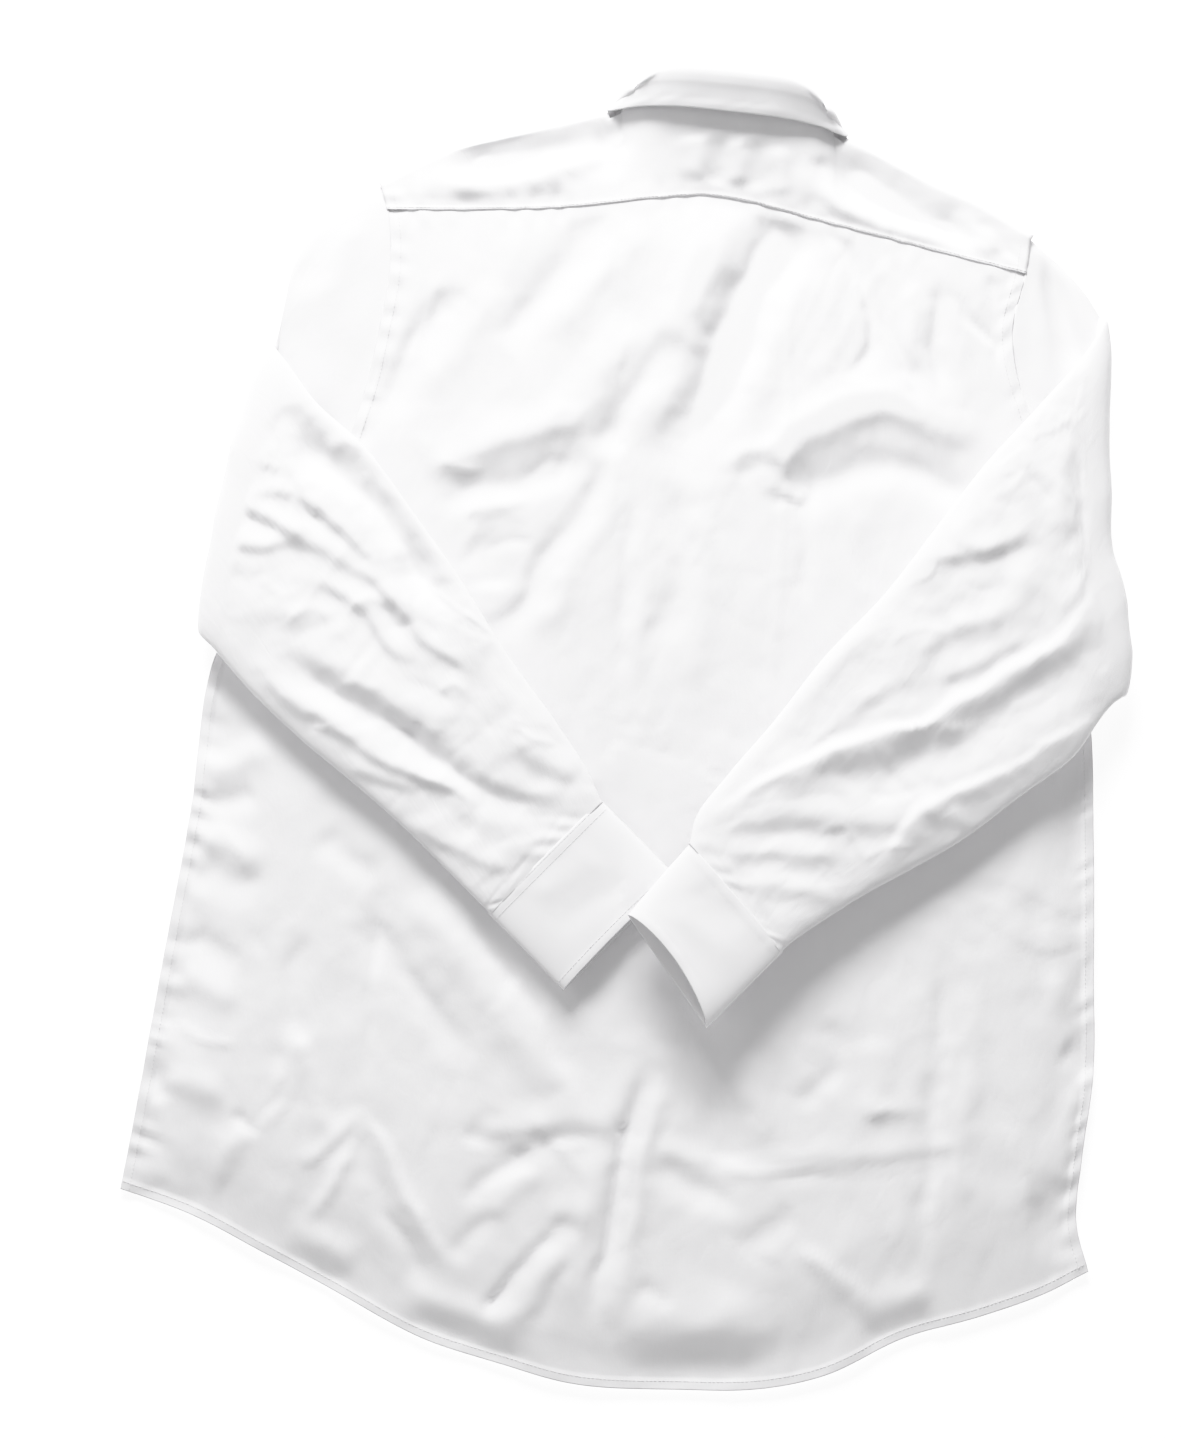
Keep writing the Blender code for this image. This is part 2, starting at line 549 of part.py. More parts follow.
def build_collar(group):
    t = neck_steps(1.0)
    base, top = loop(STAND_BASE, t), loop(STAND_TOP, t)
    lead = np.array([[14.0, -75.5, 2.1], [12.0, -46.0, 2.1]])
    base = np.vstack([lead[:1], base, lead[:1] * (-1, 1, 1)])
    top = np.vstack([lead[1:], top, lead[1:] * (-1, 1, 1)])
    rise = 2.1 * ease((np.append(np.insert(t, 0, -1), 1) - 0.7) / 0.15)
    base[:, 2] += rise
    top[:, 2] += rise
    strip = np.stack([base, base * 0.5 + top * 0.5, top], axis=1)
    sheet("collar_stand", collar_place(strip), group, -1, (0.9, 0.9, 0.9))

    end = 1 - FALL_END / 50
    t = neck_steps(end)
    base, top = loop(STAND_BASE, t), loop(STAND_TOP, t)
    middle, edge = loop(FALL_MIDDLE, t / end), loop(FALL_EDGE, t / end)
    up = top - base
    up /= np.linalg.norm(up, axis=1)[:, None]
    ahead = np.gradient(top, axis=0)
    ahead /= np.linalg.norm(ahead, axis=1)[:, None]
    out = np.cross(up, ahead)
    out /= np.linalg.norm(out, axis=1)[:, None]
    if out[len(out) // 2, 2] < 0:
        out = -out
    room = np.where((np.abs(t) > 0.2) & (np.abs(t) < 0.55), 2.3, 1.2)[:, None]
    cap = top + room * (up + out)
    cap[:, 2] = np.where(np.abs(t) > 0.7, 1.75, cap[:, 2])
    shoulder_row = cap * 0.8 + middle * 0.2
    shoulder_row = shoulder_row + 0.8 * room * out * (np.abs(t)[:, None] <= 0.6)
    rows = [top + room * up - 0.7 * out, cap, shoulder_row, cap * 0.4 + middle * 0.6, middle]
    rows += [middle * 0.5 + edge * 0.5, edge]
    for row in rows:
        row[:, 2] = np.maximum(row[:, 2], 1.75)
    sheet("collar_fall", collar_place(np.stack(rows, axis=1)), group, -1, (0.9, 0.9, 0.91))


def button(name, group, cutters, at):
    """A four-hole button, face down, turned from its half section."""
    radius, thick, rim, circle, hole = BUTTON
    shape = bmesh.new()
    profile = ((0, rim), (radius * 0.55, rim), (radius * 0.7, 0), (radius * 0.92, 0.1), (radius, 0.6),
               (radius, thick - 0.5), (radius * 0.9, thick), (0, thick))
    verts = [shape.verts.new((r * MM, 0, z * MM)) for r, z in profile]
    for one, two in zip(verts, verts[1:]):
        shape.edges.new((one, two))
    mesh = bpy.data.meshes.new(name)
    shape.to_mesh(mesh)
    shape.free()
    item = place(name, mesh, group, (0.93, 0.92, 0.89), 0.25)
    turn = item.modifiers.new("turned", "SCREW")
    turn.steps = turn.render_steps = 16
    turn.use_merge_vertices = True
    turn.merge_threshold = 0.00001
    turn.use_normal_calculate = True
    for k in range(4):
        a = math.radians(45 + 90 * k)
        cut = bmesh.new()
        wide, deep = hole * MM, 6 * MM
        bmesh.ops.create_cone(cut, cap_ends=True, segments=6, radius1=wide, radius2=wide, depth=deep)
        cutter_mesh = bpy.data.meshes.new(f"{name}_hole_{k}")
        cut.to_mesh(cutter_mesh)
        cut.free()
        cutter = bpy.data.objects.new(f"{name}_hole_{k}", cutter_mesh)
        cutter.hide_render = True
        cutter.display_type = "WIRE"
        middle = (circle * math.cos(a) * MM, circle * math.sin(a) * MM, thick / 2 * MM)
        cutter.matrix_basis = placing(at) @ Matrix.Translation(middle)
        cutters.objects.link(cutter)
        drill = item.modifiers.new(f"hole_{k}", "BOOLEAN")
        drill.operation = "DIFFERENCE"
        drill.solver = "EXACT"
        drill.object = cutter
    item.matrix_basis = placing(at)


def placing(at):
    x, y, z = at
    return Matrix.Translation(((x - ORIGIN[0]) * MM, (y - ORIGIN[1]) * MM, z * MM))


def build_buttons(group, cutters):
    spot = collar_place(np.array([[0, -62, 0.0]]))[0]
    button("button_collar", group, cutters, (spot[0], spot[1], 0.0))
    for k in range(BUTTON_COUNT):
        x, y = centre_front(np.array([BUTTON_FIRST + BUTTON_STEP * k]), 0)[0]
        button(f"button_front_{k + 1}", group, cutters, (x, y, 0.0))
    for side, (x, y, z) in CUFF_BUTTONS:
        button(f"button_cuff_{side}", group, cutters, (x, y, z))


def main():
    clear()
    keep = bpy.data.collections.new(KEEP)
    cutters = bpy.data.collections.new(CUTTERS)
    cutters.hide_render = True
    for group in (keep, cutters):
        bpy.context.scene.collection.children.link(group)
    build_back(keep)
    build_fronts(keep, *build_yoke(keep))
    build_sleeve(keep, "sleeve_left", ARMHOLE_LEFT, SLEEVE_LEFT, -1)
    build_sleeve(keep, "sleeve_right", ARMHOLE_RIGHT, SLEEVE_RIGHT, 1)
    build_cuff(keep, "cuff_left", CUFF_LEFT, -1, (0.9, 0.9, 0.9))
    build_cuff(keep, "cuff_right", CUFF_RIGHT, 1, (0.9, 0.9, 0.9))
    build_collar(keep)
    build_buttons(keep, cutters)


main()
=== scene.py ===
"""A long sleeve dress shirt in white cotton poplin, laid face down with its sleeves folded over its back.

Pattern lines and folds are tables in millimetres: x to the right, y towards the collar, z up from the table.
"""

import math

import bmesh
import bpy
import numpy as np
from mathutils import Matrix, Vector


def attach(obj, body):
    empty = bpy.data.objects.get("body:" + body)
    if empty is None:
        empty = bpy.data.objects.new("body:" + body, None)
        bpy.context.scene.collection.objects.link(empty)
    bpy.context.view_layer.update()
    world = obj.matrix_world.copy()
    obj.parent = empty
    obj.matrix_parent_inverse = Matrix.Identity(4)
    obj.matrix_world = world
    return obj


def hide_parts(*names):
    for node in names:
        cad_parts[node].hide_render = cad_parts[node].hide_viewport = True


bl_info = {
    "name": "Long Sleeve Dress Shirt",
    "version": (1, 0, 0),
    "blender": (4, 5, 0),
    "location": "View3D > Sidebar > Shirt",
    "description": "Cloth, folds, stitching, buttons and stage of a long sleeve dress shirt",
    "category": "Add Mesh",
}

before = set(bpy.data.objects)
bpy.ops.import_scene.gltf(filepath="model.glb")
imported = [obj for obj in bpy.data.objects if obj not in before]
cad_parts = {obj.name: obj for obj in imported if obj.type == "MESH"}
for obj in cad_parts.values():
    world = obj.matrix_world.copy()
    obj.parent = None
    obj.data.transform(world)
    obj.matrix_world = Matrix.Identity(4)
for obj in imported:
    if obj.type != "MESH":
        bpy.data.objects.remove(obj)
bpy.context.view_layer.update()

MM = 0.001
ORIGIN = (2.2, 9.9)  # the middle of the outline, on the pattern's own lines
SEAM = 0.35  # between two panels that are sewn together
ARMHOLE_SEAM = -0.9  # the sleeve runs in under the body by this much
BODY_MID = 5.0  # height of the middle of the body, between the fronts and the back
BODY_HALF = 5.0  # half of the body's thickness at the shoulders
UNDERARM_MID, UNDERARM_HALF = 3.4, 3.2  # the same two at the underarms
FOLD_RADIUS = 7.0  # of the sleeves' fold over the side of the body
YOKE_FRONT = 28.0  # how far the yoke reaches past the shoulder folds, on the front
OVERLAP = 16.0  # each front passes the centre by this much
LEAST_Z = 0.3  # the lowest point of a sleeve
BACK_UNDERARM = 14 / 24  # place of the underarm up the sides of the back, of 1
FRONT_UNDERARM = 14 / 22
BACK_START = (0.066, 0.1)  # the back starts this far down the left and the right armhole
FRONT_START = 0.14
HEM_EDGE = 5.2  # from an edge to its stitches
ARMHOLE_EDGE = 6.6
SIDE_EDGE = 5.8
THREAD_LIFT = 0.05  # of a stitch's middle above the cloth
PRESSED_WIDTH = 3.0
GATHERS = 4096  # random sizes kept for the gathers of one seam
BODY_WIDTH, BODY_LENGTH = 570, 690
BACK_COUNTS = (186, 238)  # places across and along the back
FRONT_COUNTS = (84, 170)
EDGE_PLACES = (0.8, 2, 4, 6.2, 7.4)  # extra places this far from an edge, for its turned hem
UNDERARM_Y = (66, 40)  # below these, the left and the right side of the back lie low
BACK_REST = 3.9  # height of the back's sides, without its seams
BACK_RISE, BACK_CROWN = 6.1, 0.8  # how much higher the back is inside its sides, and in its middle
TAIL_SHARE, TAIL_DROP = 0.72, 1.6  # how much of that rise the tail loses, and how far it sinks
BACK_TOP = 15.5
FOLD_SHARE, LIE_SHARE = 1.6, 0.9  # how strongly the back's placed folds and its crumples count
CLEARANCE = 1.3  # between the back and the cloth under it

# Turned hems: width and height
ARMHOLE_TURN = (7.0, 0.8)
HEM_TURN = (6.2, 0.4)
YOKE_TURN = (2.2, 0.3)
YOKE_END_TURN = (7.0, 0.4)
# Gathers beside a seam: width of their band, pitch, height, seed
ARMHOLE_GATHERS = ((10, 8.5, 0.9, 31), (10, 8.5, 0.9, 32))
SIDE_GATHERS = ((16, 9, 0.8, 33), (22, 21, 1.2, 37))
HEM_GATHERS = ((7, 9, 0.35, 34), (26, 38, 1.1, 36))
YOKE_GATHERS = (11, 9.5, 0.8, 35)
YOKE_END_GATHERS = ((10, 8.5, 0.8, 53), (10, 8.5, 0.8, 54))
FALL_GATHERS = (8, 11, 0.16, 71)
# Crumples all over a panel: weight, size, seed, direction in degrees, stretch
BACK_CRUMPLES = ((0.9, 34, 11, 65, 1.8), (0.35, 13, 21, 80, 1.5))
LOW_BACK_CRUMPLE = (24, 17, 118, 1.7)
YOKE_CRUMPLE = (24, 51, 80, 1.4)
FRONT_CRUMPLE = (30, 61, 70, 1.6)

# ---------------------------------------------------------------- stage, in metres
FLOOR_SIZE = 14
FLOOR_HEIGHT = -0.0004
LOOK_AT = (-0.0164, -0.0069, 0)
LENS = 70
# Name, width and length, place: each shines on the middle of the shirt
LIGHTS = (
    ("key", (1.1, 0.6), (-0.22, 1.75, 0.98)),
    ("side", (0.7, 0.5), (-1.35, 0.5, 0.8)),
    ("front", (1.6, 1.2), (0.2, -1.5, 1.7)),
)
# The view's white point, and the points of its tone curve
WHITE_LEVEL = 1.5
VIEW_CURVE = ((0.2, 0.3), (0.467, 0.69), (0.667, 0.89), (0.8, 0.955))

# ---------------------------------------------------------------- pattern lines, as (x, y)
ARMHOLE_LEFT = ((-157, 357), (-152, 338), (-150, 300), (-156, 262), (-168, 210), (-194, 145), (-245, 76))
ARMHOLE_RIGHT = ((265, 322), (261, 295), (252, 260), (254, 230), (263, 200), (274, 140), (286, 50))
SIDE_LEFT = ((-245, 76), (-262, 40), (-274, -50), (-291, -150), (-306, -240), (-315, -289))
SIDE_RIGHT = (
    (286, 50), (297, 10), (299, -70), (297.5, -160), (296.5, -215), (288, -270), (284, -310), (291, -340),
)
YOKE_SEAM = (
    (-152, 338), (-100, 337.5), (-40, 339), (20, 345), (60, 346.5), (130, 329.5), (200, 311), (261, 295),
)
HEM = (
    (-315, -289), (-270, -305), (-225, -328), (-176, -354), (-125, -381), (-75, -397), (-30, -409),
    (35, -412.5), (85, -412), (125, -404), (175, -381), (225, -367), (265, -353), (291, -340),
)
FRONT_HEM = (
    (-315, -289), (-270, -300), (-225, -317), (-176, -338), (-125, -361), (-75, -377), (-30, -386),
    (35, -391), (85, -389), (125, -382), (175, -366), (225, -356), (265, -347), (291, -340),
)
SHOULDER_LEFT = ((-157, 357), (-118, 376), (-60, 391), (-9, 403))
SHOULDER_RIGHT = ((146, 386.5), (200, 357), (235, 341), (265, 322))
NECK_SPAN = (0.36, 0.72)  # where the collar starts and ends along the yoke
CENTRE_FRONT = ((61.5, 320.0), (-13.0, -386.0))

# ---------------------------------------------------------------- collar
# Half of the loop from centre back to front: half width, y and z, in the collar's own frame
COLLAR_AT = (69.0, 400.0)
COLLAR_TURN = -6.4
STAND_BASE = (
    (0, 5, 25), (30, 5, 24), (54, 3.2, 19.4), (64, -1.0, 13.2), (69, -5.5, 8.4), (69, -13, 3.4),
    (67, -24, 2.6), (61, -37, 2.1), (49, -54, 2.1), (32, -67.5, 2.1), (14, -75.5, 2.1), (0, -77.5, 2.1),
)
STAND_TOP = (
    (0, 28.2, 36), (30, 27.6, 34.6), (46, 25, 30.5), (56.5, 19.5, 25), (62, 13.5, 19.6), (64.5, 7, 11.6),
    (63, -1, 6.8), (56, -10, 3.2), (45, -24, 2.1), (28, -37.5, 2.1), (12, -45, 2.1), (0, -47, 2.1),
)
FALL_MIDDLE = (
    (0, 16.3, 33.2), (31, 16, 31.8), (52, 15, 26.4), (64, 11, 20), (71, 7, 14), (74.5, 4.5, 8.8),
    (73, 2.5, 2.7), (66, -21, 1.75), (57, -46, 1.7), (44, -62, 1.7), (33, -74, 1.7), (24, -83, 1.7),
)
FALL_EDGE = (
    (0, 4.6, 28.6), (32, 4.6, 27.4), (58, 3.8, 20.6), (71, 2.2, 14.4), (77, 1.8, 10.8), (79, 2.6, 6.8),
    (78.5, 1.8, 2.6), (76, -30, 1.7), (68, -64, 1.7), (60, -86, 1.7), (53, -102, 1.7), (46.5, -118, 1.7),
)
NECK_BACK, NECK_FRONT = 0.36, 0.64  # where the yoke and then a front meet the collar, round the loop
FALL_END = 5.5  # each end of the fall stops this far from centre front

# ---------------------------------------------------------------- sleeves and cuffs
# How far the fold's outer line bends outwards, from its inner to its outer edge
SLEEVE_LEFT_BEND = (0, 2, 4, 6, 6, 6, 5, 3, 1)
SLEEVE_RIGHT_BEND = (0, -3, -6, -7, -7, -6, 1, 3, 1)
# Turn over the fold in degrees, inner edge x, y, z, outer edge x, y, z, half height
SLEEVE_LEFT = (
    (0, -188, 336, 5, -247, 74, 3.4, 5.0),
    (0, -212, 308, 5, -254, 66, 4.0, 5.0),
    (0, -217, 262, 5.4, -259, 58, 5.4, 5.0),
    (45, -217, 252, 5, -260, 56, 5.0, 5.4),
    (90, -217, 248, 5, -260, 56, 5.0, 5.6),
    (135, -217, 245, 5, -260, 54, 5.0, 5.6),
    (180, -214, 236, 5, -258, 48, 5.0, 5.8),
    (180, -196, 211, 6, -238, 24, 6.6, 6.8),
    (180, -163, 180, 6, -205, -8, 6.6, 7.2),
    (180, -130, 135, 6, -170, -37, 6.6, 7.2),
    (180, -104, 98, 6, -141, -62, 6.4, 7.0),
    (180, -73, 48, 5.5, -117, -85, 6.0, 6.6),
    (180, -43, 6, 5.6, -99, -103, 6.0, 6.2),
    (180, -21, -28, 5.4, -87.5, -114.5, 5.4, 5.4),
    (180, -12.2, -47.6, 5.2, -83.2, -118.6, 5.2, 4.6),
)
SLEEVE_RIGHT = (
    (0, 288, 299, 5, 291, 42, 3.4, 5.0),
    (0, 301, 283, 5, 299, 32, 4.0, 5.0),
    (0, 308, 271, 5, 305, 22, 5.0, 5.0),
    (45, 305, 268, 5, 309, 20, 5.0, 5.4),
    (90, 304, 266, 5, 310, 18, 5.0, 5.6),
    (135, 304, 264, 5, 310, 17, 5.0, 5.6),
    (180, 302, 250, 5, 308, 12, 5.0, 5.8),
    (180, 264, 206, 7, 285, -20, 7.6, 7.6),
    (180, 231, 170, 7.5, 250, -46, 8.6, 8.4),
    (180, 200, 130, 8, 212, -74, 9.4, 8.8),
    (180, 166, 86, 8.5, 180, -92, 10.4, 8.8),
    (180, 127, 45, 9.5, 152, -107, 12, 8.4),
    (180, 94, 3, 11.5, 129, -121, 14.4, 7.8),
    (180, 64, -32, 14.5, 112, -132, 16.8, 7.0),
    (180, 44, -60, 17.6, 102.5, -139, 18.6, 6.2),
    (180, 41, -74.6, 19.2, 98.2, -143, 19.2, 5.6),
)
CUFF_LEFT = (
    (-13.6, -46.2, 19.2, -84.6, -117.2, 19.2, 5.2),
    (11, -71, 19.3, -60, -142, 19.3, 4.7),
    (34, -94.5, 19.4, -37, -165.5, 19.4, 4.9),
)
CUFF_RIGHT = (
    (41.8, -74.6, 33.3, 99.6, -141.6, 33.2, 6.2),
    (20, -99, 33.8, 75, -166, 34.9, 6.8),
    (3, -119, 34.2, 52, -189, 36.6, 8.2),
)

# ---------------------------------------------------------------- folds
# Height, width, lean, then the points of the line. Lean is -1 to 1: above 0, the fold is wide on the left of
# its line and steep on the right.
BACK_FOLDS = (
    (-4.8, 21, 0.2, (124, 346), (102, 316), (80, 280), (62, 240), (48, 205), (26, 158)),
    (3.6, 20, 0, (66, 344), (52, 300), (38, 262), (26, 222), (4, 178)),
    (1.6, 10, 0, (128, 318), (112, 288), (98, 256), (86, 222), (78, 192)),
    (-2.0, 8, 0.2, (88, 262), (75, 235), (57, 213), (48, 192)),
    (-3.0, 12, 0.25, (38, 262), (17, 227), (0, 203), (-17, 174)),
    (2.2, 13, 0, (10, 268), (-10, 236), (-26, 208), (-42, 184)),
    (-1.9, 5.5, 0.45, (131, 330), (148, 300), (157, 275), (157, 245), (140, 222)),
    (1.2, 8, 0, (122, 300), (132, 275), (133, 245), (122, 220)),
    (-1.1, 4.5, 0.3, (155, 320), (166, 285), (173, 255), (186, 225), (203, 183)),
    (-1.6, 6, 0.3, (207, 294), (203, 258), (204, 212)),
    (1.0, 7, 0, (190, 292), (187, 262), (189, 228)),
    (-1.4, 4, 0.4, (208, 288), (225, 265), (241, 244), (263, 200)),
    (-0.8, 4, 0, (235, 303), (240, 268), (243, 228)),
    (-2.4, 12, 0.2, (-6, 340), (-30, 310), (-55, 280), (-82, 246)),
    (1.5, 14, 0, (24, 338), (-2, 308), (-28, 276), (-50, 248)),
    (-2.4, 11, 0.2, (-98, 290), (-120, 268), (-137, 242), (-150, 215), (-167, 199)),
    (1.2, 12, 0, (-70, 292), (-98, 258), (-116, 230), (-128, 208)),
    (4.0, 14, 0.2, (84, 150), (100, 172), (128, 194), (165, 210), (194, 202), (214, 190), (240, 190)),
    (-2.6, 12, 0, (92, 142), (130, 160), (165, 170), (192, 164), (210, 154), (236, 156)),
    (1.3, 5, 0.3, (66, 162), (78, 178), (98, 181), (112, 171)),
    (-1.0, 5, 0, (74, 158), (88, 168), (104, 165)),
    (2.2, 12, 0.2, (-132, 162), (-94, 180), (-54, 190), (-20, 212)),
    (-2.0, 10, 0, (-124, 142), (-90, 154), (-50, 163), (-20, 180)),
    (1.2, 5, 0.4, (-102, 137), (-80, 142), (-58, 143)),
    (-1.8, 12, 0, (-98, 122), (-86, 108), (-84, 88)),
    (-2.0, 10, -0.3, (-97, 58), (-62, 76), (-50, 110), (-31, 128), (-8, 182)),
    (1.5, 9, 0, (-78, 52), (-44, 78), (-34, 108), (-14, 134), (2, 172)),
    (-1.3, 8, 0, (34, 165), (38, 112), (30, 78), (21, 38)),
    (1.0, 9, 0, (52, 150), (54, 100), (48, 60), (40, 15)),
    (-0.9, 5, 0, (6, 152), (0, 62), (-6, 18)),
    (0.9, 7, 0, (16, 150), (13, 80), (9, 20)),
    (-1.0, 6, 0.2, (121, 172), (116, 120), (120, 70)),
    (0.8, 8, 0, (152, 150), (148, 110), (150, 70)),
    (2.2, 13, 0, (-150, -98), (-122, -120), (-101, -150), (-61, -200), (-36, -242)),
    (-1.9, 9, 0.3, (-96, -118), (-78, -142), (-58, -170), (-40, -202), (-20, -232)),
    (-1.5, 9, -0.2, (-172, -112), (-150, -138), (-128, -168), (-90, -212)),
    (-1.4, 7, 0, (-203, -128), (-205, -165), (-202, -202)),
    (-1.1, 6, 0, (-152, -92), (-156, -128), (-158, -162)),
    (1.6, 6, 0.3, (-182, -262), (-194, -218), (-206, -180)),
    (1.5, 6, -0.3, (-206, -182), (-212, -208), (-236, -250), (-264, -304)),
    (-1.4, 7, 0, (-214, -190), (-222, -222), (-246, -262)),
    (1.7, 5, 0.4, (-106, -340), (-130, -296), (-150, -260), (-163, -238)),
    (1.3, 4.5, -0.4, (-161, -238), (-180, -260), (-203, -277)),
    (-1.3, 6, 0.2, (-118, -352), (-145, -306), (-160, -268)),
    (0.9, 4, 0.2, (-164, -260), (-185, -290), (-196, -312)),
    (-1.0, 4, 0.2, (-246, -243), (-236, -250), (-226, -257)),
    (-1.2, 7, -0.3, (-102, -262), (-60, -263), (-30, -256), (2, -264)),
    (1.0, 7, 0.3, (-104, -249), (-60, -250), (-28, -243), (6, -252)),
    (-1.4, 8, -0.2, (18, -270), (40, -286), (60, -293), (70, -308)),
    (1.1, 8, 0.2, (20, -258), (44, -272), (66, -279), (84, -276)),
    (-0.7, 5, -0.2, (80, -282), (130, -279), (165, -278), (222, -269)),
    (0.7, 6, 0.2, (82, -270), (130, -268), (168, -267), (220, -259)),
    (-2.8, 6.5, 0.35, (18, -206), (0, -262), (-5, -290), (-12, -332), (-23, -376)),
    (2.0, 8, 0, (32, -214), (12, -264), (8, -292), (1, -332), (-8, -378)),
    (1.3, 8, 0, (2, -210), (-14, -258), (-20, -292), (-28, -330)),
    (-1.9, 4.5, 0.3, (-38, -308), (-60, -332), (-90, -372)),
    (1.6, 7, 0, (-30, -318), (-50, -342), (-74, -378)),
    (-0.9, 6, 0.2, (-44, -306), (-36, -312), (-26, -310)),
    (0.8, 7, 0.3, (-50, -301), (-36, -303), (-18, -304)),
    (-1.3, 6, 0.2, (-79, -298), (-92, -316), (-108, -333)),
    (-1.4, 7, 0.2, (-54, -264), (-84, -281), (-100, -298)),
    (1.2, 7, 0, (-46, -274), (-72, -292), (-90, -310)),
    (-1.0, 6, 0, (-79, -238), (-88, -250), (-96, -263)),
    (-2.4, 10, -0.2, (-150, -362), (-124, -374), (-98, -384), (-70, -392), (-46, -396)),
    (2.0, 11, 0, (-140, -350), (-112, -362), (-84, -372), (-52, -380)),
    (-2.6, 10, 0, (-222, -328), (-198, -341), (-172, -354)),
    (1.8, 12, 0, (-214, -312), (-188, -326), (-164, -338)),
    (-2.2, 8, 0, (-302, -286), (-284, -296), (-262, -303)),
    (-2.6, 14, 0, (-24, -406), (20, -405), (62, -404), (110, -402)),
    (3.2, 16, 0, (-10, -374), (30, -371), (70, -371), (100, -380)),
    (-2.4, 11, 0, (146, -386), (172, -380), (200, -372)),
    (2.0, 12, 0, (142, -364), (168, -358), (196, -352)),
    (-1.3, 7, 0, (207, -128), (203, -165), (198, -212), (192, -262), (182, -352)),
    (1.0, 9, 0, (222, -135), (219, -180), (213, -240), (206, -320)),
    (1.4, 6, -0.2, (106, -322), (130, -341), (158, -361)),
    (-1.2, 8, 0, (73, -326), (90, -316), (107, -303)),
    (0.6, 9, 0.3, (148, -246), (170, -241), (190, -235)),
    (-0.9, 6, 0, (108, -242), (124, -227), (142, -210)),
    (-1.0, 5, 0, (8, -346), (18, -354), (30, -362)),
    (-2.0, 8, 0, (274, -200), (290, -210), (299, -218)),
    (1.5, 11, 0, (292, -222), (279, -258), (270, -292)),
    (-1.1, 9, 0, (256, -290), (266, -314), (277, -334)),
    (-1.4, 7, 0, (-262, -44), (-246, -46), (-230, -40)),
    (1.5, 10, 0, (-268, -26), (-246, -22), (-222, -10)),
    (-1.0, 11, 0, (-266, -84), (-248, -94), (-226, -101)),
    (1.4, 9, 0, (-272, -70), (-250, -76), (-222, -84)),
    (-1.4, 7, 0, (-296, -203), (-291, -220), (-287, -238)),
    (-1.0, 12, 0, (-288, -230), (-268, -242), (-246, -250)),
    (1.4, 9, 0, (-292, -216), (-268, -226), (-244, -232)),
    (-1.5, 9, 0, (-276, -128), (-258, -140), (-240, -146)),
    (1.3, 9, 0, (-280, -150), (-260, -164), (-236, -172)),
    (-1.2, 10, 0, (-190, -62), (-170, -84), (-146, -96)),
    (1.2, 12, 0, (70, -200), (84, -232), (92, -262)),
    (-3.4, 20, 0, (46, -168), (50, -220), (58, -262), (72, -296)),
    (-1.0, 9, 0, (252, -96), (262, -140), (258, -190)),
    (1.0, 10, 0, (270, -100), (276, -146), (276, -186)),
    (-0.8, 8, 0, (130, -180), (136, -205), (128, -232)),
    (0.9, 10, 0, (158, -190), (162, -220), (156, -250)),
)
# Lines where the cloth was pressed or crumpled, thin and sharp: height, then the points of the line
BACK_PRESSED = (
    (0.6, (108, 312), (108, 250), (105, 180), (98, 60), (93, 6), (90, -60)),
    (-0.5, (186, 130), (180, 60), (176, 0)),
    (0.8, (207, -128), (204, -200), (198, -262), (192, -350)),
    (0.8, (-203, -132), (-204, -182), (-206, -262), (-214, -322)),
    (-0.8, (-152, -96), (-157, -160), (-160, -232)),
    (0.9, (84, 150), (96, 154), (108, 148), (120, 154)),
    (-0.9, (92, 142), (104, 146), (118, 141)),
    (0.9, (-95, 133), (-75, 138), (-58, 133)),
    (-0.9, (-90, 116), (-72, 121), (-56, 119)),
    (0.9, (-118, 176), (-100, 166), (-84, 168)),
    (-0.8, (-64, 160), (-48, 172), (-34, 170)),
    (0.9, (-250, -290), (-236, -262), (-214, -236), (-206, -200)),
    (0.9, (-106, -262), (-84, -264), (-62, -260), (-40, -262), (-10, -256)),
    (0.8, (22, -276), (48, -270), (80, -280), (120, -276), (160, -279), (220, -270)),
    (-0.8, (-60, -255), (-48, -262), (-36, -254)),
    (1.0, (-188, -298), (-168, -262), (-160, -240)),
    (0.9, (-20, -285), (-40, -262), (-58, -238)),
    (0.8, (-98, -300), (-70, -282), (-50, -276)),
    (-0.8, (-30, -330), (-44, -350), (-52, -372)),
    (0.8, (150, -246), (166, -240), (180, -243)),
    (0.8, (196, -252), (206, -270), (216, -300)),
    (-0.6, (60, -310), (80, -330), (104, -344)),
    (0.8, (240, -250), (252, -282), (248, -322)),
    (0.6, (60, -130), (64, -200), (70, -258)),
    (0.6, (-118, 300), (-126, 262), (-136, 232)),
    (-0.6, (150, 200), (172, 214), (188, 206)),
    (0.6, (128, 214), (140, 226), (158, 224)),
    (0.8, (-262, -60), (-244, -74), (-236, -96)),
    (0.8, (-282, -180), (-262, -196), (-240, -200)),
    (-0.6, (-232, -120), (-222, -150), (-226, -176)),
)
